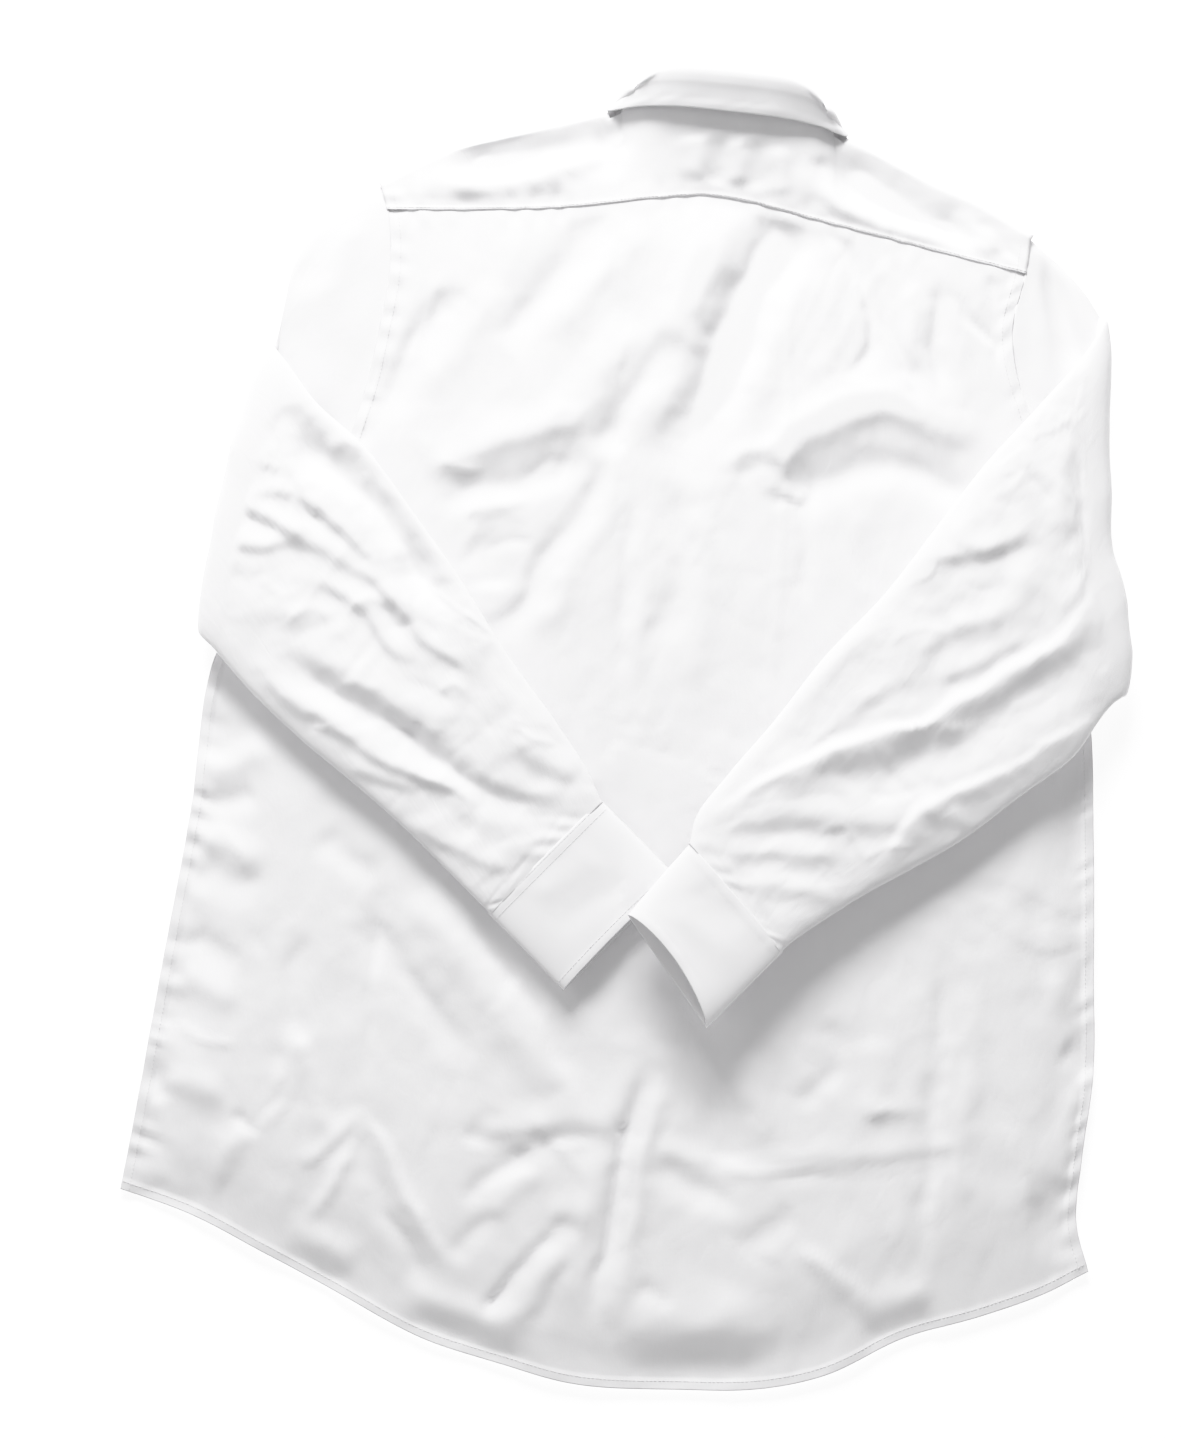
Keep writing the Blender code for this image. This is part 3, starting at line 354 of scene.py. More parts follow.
YOKE_FOLDS = (
    (-4.2, 12, 0.2, (-124, 364), (-66, 371), (-24, 379), (14, 386)),
    (2.0, 9, 0, (-126, 352), (-82, 354), (-40, 358), (-4, 366)),
    (-1.3, 7, 0, (-98, 376), (-84, 366), (-62, 358)),
    (1.5, 8, 0, (-58, 366), (-34, 370), (-12, 381)),
    (-1.3, 7, 0, (-38, 352), (-20, 360), (2, 374)),
    (1.2, 9, 0, (46, 388), (48, 370), (44, 354)),
    (-1.2, 8, 0, (62, 387), (63, 368), (60, 350)),
    (1.2, 8, 0, (74, 386), (74, 366), (72, 350)),
    (-1.1, 7, 0, (86, 384), (86, 364), (88, 346)),
    (1.0, 7, 0, (100, 378), (102, 360), (104, 342)),
    (-1.0, 6, 0, (128, 374), (128, 352), (127, 334)),
    (-4.6, 14, 0.2, (128, 374), (148, 358), (170, 344), (200, 330), (240, 318)),
    (2.4, 10, 0, (108, 366), (134, 346), (162, 328), (192, 316), (226, 308)),
    (-1.0, 6, 0, (160, 352), (176, 336), (200, 326)),
    (1.0, 6, 0, (216, 336), (232, 322), (244, 306)),
    (-1.0, 5, 0, (232, 334), (243, 318), (250, 300)),
    (1.0, 9, 0, (-140, 352), (-112, 356), (-88, 350)),
)
SLEEVE_LEFT_FOLDS = (
    (-1.4, 10.5, 0.2, (-186, 338), (-196, 312), (-208, 280)),
    (1.7, 8.0, 0, (-172, 336), (-182, 306), (-196, 272)),
    (-8.0, 12, 0.3, (-212, 206), (-196, 172), (-166, 152), (-140, 117), (-124, 91), (-98, 70)),
    (-1.2, 9.0, 0, (-214, 206), (-198, 186), (-184, 168)),
    (1.5, 6.0, 0, (-192, 178), (-176, 184), (-164, 180)),
    (-0.8, 6.9, 0.2, (-90, 70), (-70, 30), (-50, 9), (-16, -34)),
    (2.1, 5.0, 0.5, (-262, 158), (-240, 142), (-198, 116)),
    (-0.9, 6.0, 0, (-262, 150), (-238, 134), (-204, 112)),
    (1.7, 5.8, 0.4, (-243, 141), (-212, 148), (-180, 126), (-150, 97)),
    (-0.8, 8.6, 0, (-236, 132), (-208, 138), (-178, 117), (-154, 88)),
    (1.6, 5.8, 0.3, (-262, 144), (-238, 118), (-205, 118), (-175, 104), (-155, 91), (-124, 48)),
    (-0.8, 8.6, 0, (-240, 108), (-206, 108), (-176, 95), (-156, 82), (-132, 50)),
    (1.1, 4.6, 0, (-210, 148), (-206, 132), (-203, 116)),
    (1.5, 5.8, 0.4, (-202, 101), (-165, 76), (-145, 51), (-124, 42)),
    (-0.8, 8.6, 0, (-204, 92), (-168, 67), (-148, 43), (-128, 34)),
    (1.5, 5.8, 0.4, (-157, 92), (-135, 69), (-120, 51), (-88, 36)),
    (-0.8, 8.6, 0, (-158, 82), (-138, 60), (-122, 43), (-94, 29)),
    (1.3, 5.8, 0.2, (-236, 112), (-254, 98), (-272, 84)),
    (-0.5, 10.3, 0, (-238, 100), (-252, 86), (-266, 74)),
    (-4.2, 9.0, -0.2, (-228, 52), (-200, 31), (-150, 5), (-120, -17), (-100, -31), (-75, -47), (-28, -57)),
    (2.9, 7.0, 0.4, (-238, 46), (-215, 21), (-180, 1), (-150, -19), (-120, -34), (-78, -50)),
    (1.6, 10.3, 0, (-206, 48), (-160, 24), (-122, 4), (-96, -12)),
    (1.8, 6.9, 0.3, (-176, -20), (-150, -32), (-126, -41)),
    (-1.4, 12.1, -0.2, (-168, -29), (-120, -50), (-94, -66), (-62, -87)),
    (1.6, 6.9, 0.3, (-137, -60), (-110, -72), (-68, -93)),
    (-0.8, 8.6, -0.2, (-132, -71), (-106, -86), (-78, -101)),
    (-1.0, 10.3, 0, (-77, -13), (-55, -30), (-30, -39)),
    (1.4, 6.9, 0, (-70, -4), (-50, -20), (-26, -32)),
    (-0.5, 6.9, 0, (-88, -2), (-76, 4), (-66, 7)),
    (1.3, 9.2, 0, (-250, 70), (-222, 74), (-196, 66)),
    (-0.6, 12.1, 0, (-246, 60), (-220, 62), (-192, 52)),
    (-0.6, 8.6, 0, (-60, -62), (-42, -66), (-26, -62)),
    (1.0, 5.8, 0, (-88, -88), (-66, -78), (-44, -78)),
    (-0.6, 8.6, 0, (-92, -100), (-74, -94), (-58, -98)),
)
SLEEVE_LEFT_PRESSED = (
    (0.9, (-252, 196), (-236, 176), (-222, 172)),
    (-0.8, (-240, 212), (-222, 190), (-214, 160)),
    (1.0, (-176, 66), (-160, 80), (-142, 74)),
    (-0.9, (-150, 60), (-128, 66), (-112, 56)),
    (0.9, (-232, 92), (-214, 84), (-198, 88)),
    (0.9, (-120, 20), (-104, 26), (-92, 20)),
    (-0.8, (-142, 30), (-120, 22), (-104, 10)),
    (0.9, (-190, 20), (-170, 26), (-150, 20)),
    (0.8, (-214, 64), (-196, 74), (-182, 62)),
    (0.9, (-72, 8), (-56, -6), (-40, -10)),
)
SLEEVE_RIGHT_FOLDS = (
    (-3.8, 8.0, -0.2, (271, 316), (279, 285), (289, 252), (298, 228)),
    (1.9, 6.0, 0, (264, 300), (266, 275), (274, 240)),
    (1.7, 8.0, 0, (284, 304), (297, 278), (306, 250)),
    (1.3, 5.0, 0, (276, 250), (270, 225), (272, 208)),
    (1.7, 8.0, 0.3, (206, 132), (222, 116), (244, 119)),
    (-1.2, 15.5, 0, (186, 104), (170, 84), (196, 84), (218, 106)),
    (1.4, 5.8, 0.3, (186, 107), (230, 113), (264, 127)),
    (-0.7, 8.6, 0, (190, 98), (232, 104), (266, 116)),
    (-0.8, 10.3, 0, (252, 120), (235, 90), (215, 71), (198, 56)),
    (1.2, 8.0, 0, (262, 108), (246, 80), (226, 62), (208, 46)),
    (0.9, 5.8, 0, (206, 64), (222, 68), (242, 68)),
    (-1.0, 7.8, -0.3, (198, 19), (225, 30), (250, 45), (264, 53)),
    (1.4, 5.8, 0.3, (194, 27), (222, 38), (246, 53), (260, 61)),
    (-0.8, 8.6, 0, (188, 34), (205, 48), (230, 61)),
    (1.3, 6.9, 0, (182, 44), (202, 58), (226, 71)),
    (4.0, 9.0, 0.6, (316, 96), (290, 71), (275, 53), (262, 46), (240, 33), (215, 16), (190, 1), (150, -11),
     (120, -21), (95, -34), (70, -47), (50, -63)),
    (-2.8, 15.0, 0, (312, 66), (286, 42), (262, 22), (236, 8), (212, -8), (188, -22), (150, -32), (118, -44)),
    (-0.8, 13.8, 0, (280, 76), (256, 62), (232, 48), (208, 34), (184, 20)),
    (1.1, 5.8, 0, (52, -62), (80, -42), (110, -18), (140, 5), (165, 25), (192, 41)),
    (-0.8, 10.3, 0, (66, -58), (92, -38), (122, -12), (152, 10), (178, 26)),
    (2.7, 8.0, 0.5, (312, 12), (280, -7), (250, -24), (225, -37), (200, -49), (180, -64), (165, -84),
     (158, -98)),
    (-1.3, 12.1, 0, (296, -4), (262, -26), (232, -46), (204, -66), (188, -82)),
    (1.2, 5.8, 0, (184, -48), (204, -60), (222, -58)),
    (-0.6, 8.6, 0, (190, -58), (200, -72), (204, -86)),
    (1.1, 4.6, 0, (206, -50), (212, -62), (206, -80)),
    (1.5, 8.0, 0.2, (54, -68), (100, -57), (150, -60), (196, -58)),
    (-0.8, 12.1, 0, (58, -80), (100, -69), (146, -71), (180, -72)),
    (1.4, 6.9, 0.2, (58, -81), (100, -79), (142, -82)),
    (-0.8, 10.3, 0, (60, -90), (110, -91), (162, -100)),
    (1.2, 6.9, 0, (70, -99), (104, -101), (140, -110)),
    (-0.6, 8.6, 0, (84, -108), (108, -112), (130, -118)),
    (1.5, 8.0, 0, (282, 190), (278, 150), (284, 112)),
    (-0.8, 12.0, 0, (296, 180), (293, 140), (298, 108)),
    (-1.2, 12.0, 0, (256, 206), (232, 174), (206, 140), (190, 118)),
    (1.3, 8.0, 0, (162, 70), (136, 46), (108, 16)),
    (-0.8, 12.1, 0, (170, 60), (140, 34), (112, 2), (84, -22)),
)
SLEEVE_RIGHT_PRESSED = (
    (0.8, (302, 106), (284, 84), (268, 70)),
    (0.9, (258, 172), (246, 150), (230, 142)),
    (-0.8, (276, 140), (262, 150), (246, 168)),
    (0.9, (166, 50), (184, 62), (206, 60)),
    (-0.8, (210, 92), (228, 86), (250, 92)),
    (0.9, (120, -70), (136, -64), (150, -76)),
    (0.8, (150, -88), (166, -76), (184, -78)),
    (0.8, (240, 10), (258, 16), (276, 30)),
    (-0.8, (150, -40), (176, -44), (200, -36)),
    (0.8, (270, -10), (252, -14), (236, -26)),
)
CUFF_LEFT_FOLDS = (
    (0.7, 9, 0, (-60, -110), (-36, -96), (-14, -78)),
    (-0.6, 8, 0, (-52, -130), (-20, -112), (8, -90)),
)
CUFF_RIGHT_FOLDS = (
    (-0.7, 9, 0, (80, -126), (58, -116), (40, -98)),
    (0.6, 9, 0, (74, -150), (48, -132), (26, -112)),
)
FRONT_FOLDS = (
    (-1.0, 12, 0, (-220, 120), (-150, 60), (-110, -40)),
    (1.0, 12, 0, (-200, -80), (-140, -160), (-120, -260)),
    (-0.9, 10, 0, (-260, -140), (-190, -220), (-170, -300)),
    (1.0, 12, 0, (220, 160), (190, 60), (210, -40)),
    (-1.0, 12, 0, (160, 40), (130, -80), (150, -180)),
    (0.9, 10, 0, (260, -120), (210, -220), (220, -320)),
)


# ---------------------------------------------------------------- lines and surfaces
def line(rows, t):
    """Points at t (0 to 1) of the smooth line through the rows, spaced by the lengths between them."""
    rows = np.array(rows, float)
    step = np.maximum(np.linalg.norm(np.diff(rows, axis=0), axis=1), 1e-9)
    at = np.concatenate([[0], np.cumsum(step)]) / step.sum()
    return smooth_rows(at, rows, np.asarray(t, float))


def smooth_rows(at, rows, t):
    """Cubic line through the rows, where at is each row's place and t the places wanted."""
    rise = np.diff(rows, axis=0) / np.diff(at)[:, None]
    slope = np.vstack([rise[:1], (rise[:-1] + rise[1:]) / 2, rise[-1:]])
    return cubic(at, rows, slope, t)


def steady_rows(at, rows, t):
    """The same, never swinging past a row, for rows whose spacing changes much."""
    rise = np.diff(rows, axis=0) / np.diff(at)[:, None]
    one, two = rise[:-1], rise[1:]
    both = np.where(one * two > 0, 2 * one * two / np.where(one + two == 0, 1, one + two), 0)
    return cubic(at, rows, np.vstack([rise[:1], both, rise[-1:]]), t)


def cubic(at, rows, slope, t):
    """Points at t of the line through the rows that has this slope at each of them."""
    k = np.clip(np.searchsorted(at, t, side="right") - 1, 0, len(at) - 2)
    span = np.diff(at)[:, None][k]
    f = ((t - at[k])[:, None]) / span
    start, end = rows[k], rows[k + 1]
    leave, arrive = slope[k] * span, slope[k + 1] * span
    from_start = start * (2 * f**3 - 3 * f**2 + 1) + leave * (f**3 - 2 * f**2 + f)
    return from_start + end * (3 * f**2 - 2 * f**3) + arrive * (f**3 - f**2)


def between_rows(grid, count, ends=()):
    """The grid with count places along its second axis, and extra ones at these distances from both ends."""
    middles = grid.mean(axis=0)
    at = np.concatenate([[0], np.cumsum(np.linalg.norm(np.diff(middles, axis=0), axis=1))])
    t = spaced(at[-1], count, ends) * at[-1]
    flat = grid.transpose(1, 0, 2).reshape(grid.shape[1], -1)
    return steady_rows(at, flat, t).reshape(len(t), grid.shape[0], 3).transpose(1, 0, 2)


def ease(x):
    """0 below 0, 1 above 1, and a soft step between."""
    x = np.clip(x, 0, 1)
    return x * x * (3 - 2 * x)


def swell(s, power=7.0):
    """Height over a flattened tube's width: 0 at its two edges, 1 over most of it."""
    return np.sqrt(np.clip(1 - np.abs(2 * np.asarray(s, float) - 1) ** power, 0, 1))


def spaced(length, count, ends=()):
    """Places from 0 to 1, even but for extra ones at these distances from both ends."""
    near = np.array(ends, float) / length
    start = near[-1] if len(near) else 0.0
    middle = np.linspace(start, 1 - start, count - 2 * len(near))
    return np.unique(np.concatenate([[0, 1], near, 1 - near, middle]))


def patch(bottom, top, left, right, u, v):
    """Grid of points filled in between four lines of points, at the places u across and v up."""
    u, v = u[:, None, None], v[None, :, None]
    across = (1 - v) * bottom[:, None] + v * top[:, None]
    down = (1 - u) * left[None] + u * right[None]
    corner = (1 - u) * ((1 - v) * bottom[0] + v * top[0]) + u * ((1 - v) * bottom[-1] + v * top[-1])
    return across + down - corner


def lengths(grid, axis):
    """Distance of each point along one axis of the grid, from that axis's start."""
    step = np.linalg.norm(np.diff(grid, axis=axis), axis=2)
    start = np.zeros_like(np.take(step, [0], axis=axis))
    return np.cumsum(np.concatenate([start, step], axis=axis), axis=axis)


def from_end(distance, axis):
    """Distance of each point from the end of that axis."""
    return np.take(distance, [-1], axis=axis) - distance


# ---------------------------------------------------------------- how cloth lies
def ripple(at, size, seed):
    """Smooth random height from -1 to 1, with hills of about this size."""
    lattice = np.random.default_rng(seed).uniform(-1, 1, (65, 65))
    place = np.asarray(at, float) / size
    cell = np.floor(place).astype(int)
    f = place - cell
    f = f * f * (3 - 2 * f)
    i, j = cell[..., 0] % 64, cell[..., 1] % 64
    low = lattice[i, j] * (1 - f[..., 0]) + lattice[i + 1, j] * f[..., 0]
    high = lattice[i, j + 1] * (1 - f[..., 0]) + lattice[i + 1, j + 1] * f[..., 0]
    return low * (1 - f[..., 1]) + high * f[..., 1]


def turned(xy, degrees, stretch=1.0):
    """The places turned round, then drawn out along the turned direction."""
    a = math.radians(degrees)
    along = xy[..., 0] * math.cos(a) + xy[..., 1] * math.sin(a)
    across = -xy[..., 0] * math.sin(a) + xy[..., 1] * math.cos(a)
    return np.stack([along / stretch, across], axis=-1)


def crumple(xy, size, seed, degrees=0.0, stretch=1.0):
    """Shallow hills with thin pressed lines between them, from about -1 to 1."""
    at = turned(xy, degrees, stretch)
    wander = [ripple(at, size * 1.7, seed + 5), ripple(at, size * 1.3, seed + 6)]
    bend = size * 0.35 * np.stack(wander, axis=-1)
    soft = 0.6 * ripple(at + bend, size, seed) + 0.3 * ripple(at - bend, size * 0.53, seed + 1)
    ridge = 1 - 2.6 * np.abs(ripple(at + bend, size * 1.25, seed + 2))
    cut = 1 - 3.2 * np.abs(ripple(at - bend, size * 1.6, seed + 3))
    return soft + 0.45 * np.maximum(ridge, -0.1) - 0.4 * np.maximum(cut, -0.1)


def pressed_height(xy, rows):
    """Height of the pressed lines, which come to a point."""
    return fold_height(xy, [(height, PRESSED_WIDTH, 0, *points) for height, *points in rows], True)


def fold_height(xy, rows, pressed=False, seed=3):
    """Height of the folds at each place. Pressed ones come to a point, and the rest are round."""
    flat = xy.reshape(-1, 2)
    wander = [ripple(flat, 19, seed + 40) + 0.5 * ripple(flat, 8, seed + 41), ripple(flat, 23, seed + 42)]
    flat = flat + 2.4 * np.stack(wander, axis=-1)
    total = np.zeros(len(flat))
    uneven = 1 + 0.22 * ripple(flat, 26, seed)
    for height, width, lean, *points in rows:
        path = line(points, np.linspace(0, 1, 7 * (len(points) - 1) + 1))
        reach = 3.2 * width * (1 + abs(lean))
        near = np.flatnonzero(((flat > path.min(0) - reach) & (flat < path.max(0) + reach)).all(1))
        if not len(near):
            continue
        spot = flat[near]
        best, place, side = np.full(len(near), 1e9), np.zeros(len(near)), np.zeros(len(near))
        for k, (a, b) in enumerate(zip(path, path[1:])):
            run = b - a
            f = np.clip(((spot - a) @ run) / (run @ run), 0, 1)
            off = spot - a - f[:, None] * run
            far = np.hypot(off[:, 0], off[:, 1])
            closer = far < best
            best = np.where(closer, far, best)
            place = np.where(closer, (k + f) / (len(path) - 1), place)
            side = np.where(closer, np.sign(run[0] * off[:, 1] - run[1] * off[:, 0]), side)
        fade = ease(place / 0.24) * ease((1 - place) / 0.24)
        apart = best / (width * (1 + lean * side))
        shape = np.exp(-apart) if pressed else np.exp(-apart * apart)
        total[near] += height * fade * shape * uneven[near]
    return total.reshape(xy.shape[:-1])


def pucker(distance, along, band, pitch, height, seed):
    """Small gathers beside a seam: bumps at about this pitch along it, over a band of this width."""
    rng = np.random.default_rng(seed)
    knots = rng.uniform(0.35, 1, GATHERS) * np.where(np.arange(GATHERS) % 2, 1, -1)
    knots *= np.where(rng.random(GATHERS) < 0.12, -1, 1)
    sway = 0.9 * ripple(np.stack([along, distance * 0.2], axis=-1), 2.6 * pitch, seed + 1)
    place = np.abs(np.abs(along) / pitch + sway)
    cell = np.floor(place).astype(int)
    f = ease(place - cell)
    cell = cell % (GATHERS - 1)
    bump = knots[cell] * (1 - f) + knots[cell + 1] * f
    return height * bump * np.exp(-((distance - band * 0.55) / (band * 0.6)) ** 2)


def turned_hem(distance, width, height):
    """The double cloth of a turned edge."""
    return height * (1 - ease((distance - width + 0.6) / 1.4))


def relax(grid, passes, closed=False):
    """Evens out small kinks and leaves the borders where they are."""
    for _ in range(passes):
        across = grid.copy()
        across[1:-1] = (grid[:-2] + grid[2:] + 2 * grid[1:-1]) / 4
        if closed:
            across[0] = across[-1] = (grid[-2] + grid[1] + 2 * grid[0]) / 4
        grid = across.copy()
        grid[:, 1:-1] = (across[:, :-2] + across[:, 2:] + 2 * across[:, 1:-1]) / 4
    return grid


class Pile:
    """The highest cloth so far at each place, for what is laid on it."""

    def __init__(self, cell=5.0):
        self.cell, self.low = cell, np.array((-345.0, -445.0))
        self.top = np.zeros((140, 180))

    def add(self, points):
        """Lays these points on the pile."""
        flat = points.reshape(-1, 3)
        spot = np.clip(((flat[:, :2] - self.low) / self.cell).round().astype(int), 0, (139, 179))
        np.maximum.at(self.top, (spot[:, 0], spot[:, 1]), flat[:, 2])

    def at(self, xy):
        """Height of the pile at these places."""
        place = np.clip((xy - self.low) / self.cell, 0, (138.99, 178.99))
        cell = place.astype(int)
        f = place - cell
        i, j = cell[..., 0], cell[..., 1]
        low = self.top[i, j] * (1 - f[..., 0]) + self.top[i + 1, j] * f[..., 0]
        high = self.top[i, j + 1] * (1 - f[..., 0]) + self.top[i + 1, j + 1] * f[..., 0]
        return low * (1 - f[..., 1]) + high * f[..., 1]


PILE = Pile()
SHAPES = {}  # each panel's grid of points in mm, for the stitching


# ---------------------------------------------------------------- pieces as meshes
def grid_mesh(name, grid, closed=False, drop=None):
    """Mesh of a panel or tube from its grid of points, with the cloth's own lengths across and along it."""
    nu, nv = grid.shape[0] - 1, grid.shape[1] - 1
    shape = bmesh.new()
    bmesh.ops.create_grid(shape, x_segments=nu, y_segments=nv, size=0.5)
    mesh = bpy.data.meshes.new(name)
    shape.to_mesh(mesh)
    shape.free()
    spots = np.empty(len(mesh.vertices) * 3)
    mesh.vertices.foreach_get("co", spots)
    spots = spots.reshape(-1, 3)
    i = np.round((spots[:, 0] + 0.5) * nu).astype(int)
    j = np.round((spots[:, 1] + 0.5) * nv).astype(int)
    places = (grid[i, j] - (*ORIGIN, 0)) * MM
    mesh.vertices.foreach_set("co", places.astype(np.float32).ravel())
    grain = mesh.attributes.new("grain", "FLOAT_VECTOR", "POINT")
    across, along = lengths(grid, 0), lengths(grid, 1)
    middle = across[:, [across.shape[1] // 2]] + 0 * across
    cloth = np.stack([middle[i, j], along[i, j], 0 * i], axis=1) * MM
    grain.data.foreach_set("vector", cloth.astype(np.float32).ravel())
    if closed or drop is not None:
        shape = bmesh.new()
        shape.from_mesh(mesh)
        shape.faces.ensure_lookup_table()
        if drop is not None:
            gone = []
            for face in shape.faces:
                corners = [v.index for v in face.verts]
                if drop(i[corners].min(), j[corners].min()):
                    gone.append(face)
            bmesh.ops.delete(shape, geom=gone, context="FACES")
        if closed:
            edge = [v for v in shape.verts if v.is_boundary]
            bmesh.ops.remove_doubles(shape, verts=edge, dist=1e-6)
            face_out(shape, grid)
        shape.to_mesh(mesh)
        shape.free()
    mesh.update()
    return mesh


def face_out(shape, grid):
    """Turns a tube's faces so that they look away from its middle."""
    middles = (grid.mean(axis=0) - (*ORIGIN, 0)) * MM
    shape.normal_update()
    faces = list(shape.faces)[:: max(1, len(shape.faces) // 900)]
    score = 0.0
    for face in faces:
        spot = np.array(face.calc_center_median())
        near = middles[np.argmin(np.linalg.norm(middles - spot, axis=1))]
        score += float(np.dot(np.array(face.normal), spot - near))
    if score < 0:
        bmesh.ops.reverse_faces(shape, faces=shape.faces)


def panel(name, grid, node, cloth, wall, side=-1, closed=False, drop=None):
    """A sewn panel as a thin shell, which stands for its CAD node and lies where that does."""
    item = bpy.data.objects.new(name, grid_mesh(name, grid, closed, drop))
    bpy.context.scene.collection.objects.link(item)
    item.data.materials.append(cloth)
    item.data.polygons.foreach_set("use_smooth", np.ones(len(item.data.polygons), bool))
    thick = item.modifiers.new("cloth", "SOLIDIFY")
    thick.thickness = wall * MM
    thick.offset = side
    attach(item, "root")
    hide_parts(node)
    SHAPES[name] = grid


# ---------------------------------------------------------------- body
def rest_height(xy):
    """How far the fronts are held off the table, by the collar and the buttons under them."""
    x, y = xy[..., 0], xy[..., 1]
    a, b = np.array(CENTRE_FRONT[0]), np.array(CENTRE_FRONT[1])
    f = np.clip((y - a[1]) / (b[1] - a[1]), 0, 1)
    strip = 1 - ease((np.abs(x - (a[0] + f * (b[0] - a[0]))) - 34) / 26)
    collar = (1 - ease((np.abs(x - 62) - 112) / 30)) * ease((y - 222) / 30)
    return 2.3 * np.maximum(strip, collar)


def side_line(armhole, side, start, split, v):
    """Side of a body panel from the hem up: side seam to the underarm at v = split, then the armhole."""
    lower = line(side, 1 - np.clip(v / split, 0, 1))
    upper = line(armhole, 1 - np.clip((v - split) / (1 - split), 0, 1) * (1 - start))
    return np.where((v < split)[:, None], lower, upper)


def armhole_top(s):
    """Upper edge of an armhole: the same rise as the sleeve ring that is sewn to it."""
    mid = BODY_MID * (1 - s) + UNDERARM_MID * s
    return mid + (BODY_HALF * (1 - s) + UNDERARM_HALF * s) * swell(s)


def back_grid():
    """The back: pattern outline, height over the table, folds, then seams and hem."""
    u = spaced(BODY_WIDTH, BACK_COUNTS[0], (*EDGE_PLACES, 9.5))
    v = spaced(BODY_LENGTH, BACK_COUNTS[1], (0.8, 2, 3.6, 5.2, 6.2, 7.4, 9.5))
    split = BACK_UNDERARM
    seam, hem = line(YOKE_SEAM, u) + (0, 1.2), line(HEM, u)
    left = side_line(ARMHOLE_LEFT, SIDE_LEFT, BACK_START[0], split, v)
    right = side_line(ARMHOLE_RIGHT, SIDE_RIGHT, BACK_START[1], split, v)
    left[-1], right[-1] = seam[0], seam[-1]
    left[0], right[0] = hem[0], hem[-1]
    xy = patch(hem, seam, left + (SEAM, 0), right - (SEAM, 0), u, v)
    flat = np.dstack([xy, np.zeros(xy.shape[:2])])
    du, dv = lengths(flat, 0), lengths(flat, 1)
    left_far, right_far, hem_far, seam_far = du, from_end(du, 0), dv, from_end(dv, 1)
    side_far = np.minimum(left_far, right_far)
    under = (UNDERARM_Y[0] + (UNDERARM_Y[1] - UNDERARM_Y[0]) * u)[:, None]
    low = ease((under + 20 - xy[..., 1]) / 90)
    side = 1 - low * (1 - ease(side_far / 46))
    hand = fold_height(xy, BACK_FOLDS) + pressed_height(xy, BACK_PRESSED)
    lie = sum(weight * crumple(xy, *kind) for weight, *kind in BACK_CRUMPLES)
    lie += 0.8 * crumple(xy, *LOW_BACK_CRUMPLE) * ease((-70 - xy[..., 1]) / 110)
    calm = ease(hem_far / 30) * ease(seam_far / 14) * ease(side_far / 16)
    tail = 1 - ease(hem_far / 75)
    crown = ease(side_far / 60) * ease(seam_far / 30) * BACK_CROWN
    z = BACK_REST + side * (BACK_RISE + crown) * (1 - TAIL_SHARE * tail) - TAIL_DROP * tail
    z += (FOLD_SHARE * hand + LIE_SHARE * lie) * (0.35 + 0.65 * calm) * ease((seam_far + 1) / 15)
    hole = np.clip((v - split) / (1 - split), 0, 1)[None]
    for far, start in zip((left_far, right_far), BACK_START):
        near = (1 - ease(far / 18)) * (v >= split)[None]
        z = z * (1 - near) + armhole_top(1 - hole * (1 - start)) * near
    # armholes, side seams, hem and the yoke seam
    for far, gathers in zip((left_far, right_far), ARMHOLE_GATHERS):
        z += turned_hem(far, *ARMHOLE_TURN) + pucker(far, dv, *gathers)
    z += sum(pucker(left_far, dv, *gathers) for gathers in SIDE_GATHERS) * (xy[..., 1] < 30)
    z += turned_hem(hem_far, *HEM_TURN) + pucker(hem_far, du, *HEM_GATHERS[0])
    z += pucker(seam_far, du, *YOKE_GATHERS)
    z += pucker(hem_far, du, *HEM_GATHERS[1])
    return np.dstack([xy, np.clip(z, np.maximum(PILE.at(xy) + CLEARANCE, 0.9), BACK_TOP)])


def shoulder(rows, t):
    """Points of a shoulder fold and the outward direction at each."""
    at = line(rows, t)
    ahead = line(rows, np.clip(t + 0.01, 0, 1)) - line(rows, np.clip(t - 0.01, 0, 1))
    ahead /= np.linalg.norm(ahead, axis=1)[:, None]
    return at, np.column_stack([-ahead[:, 1], ahead[:, 0]])


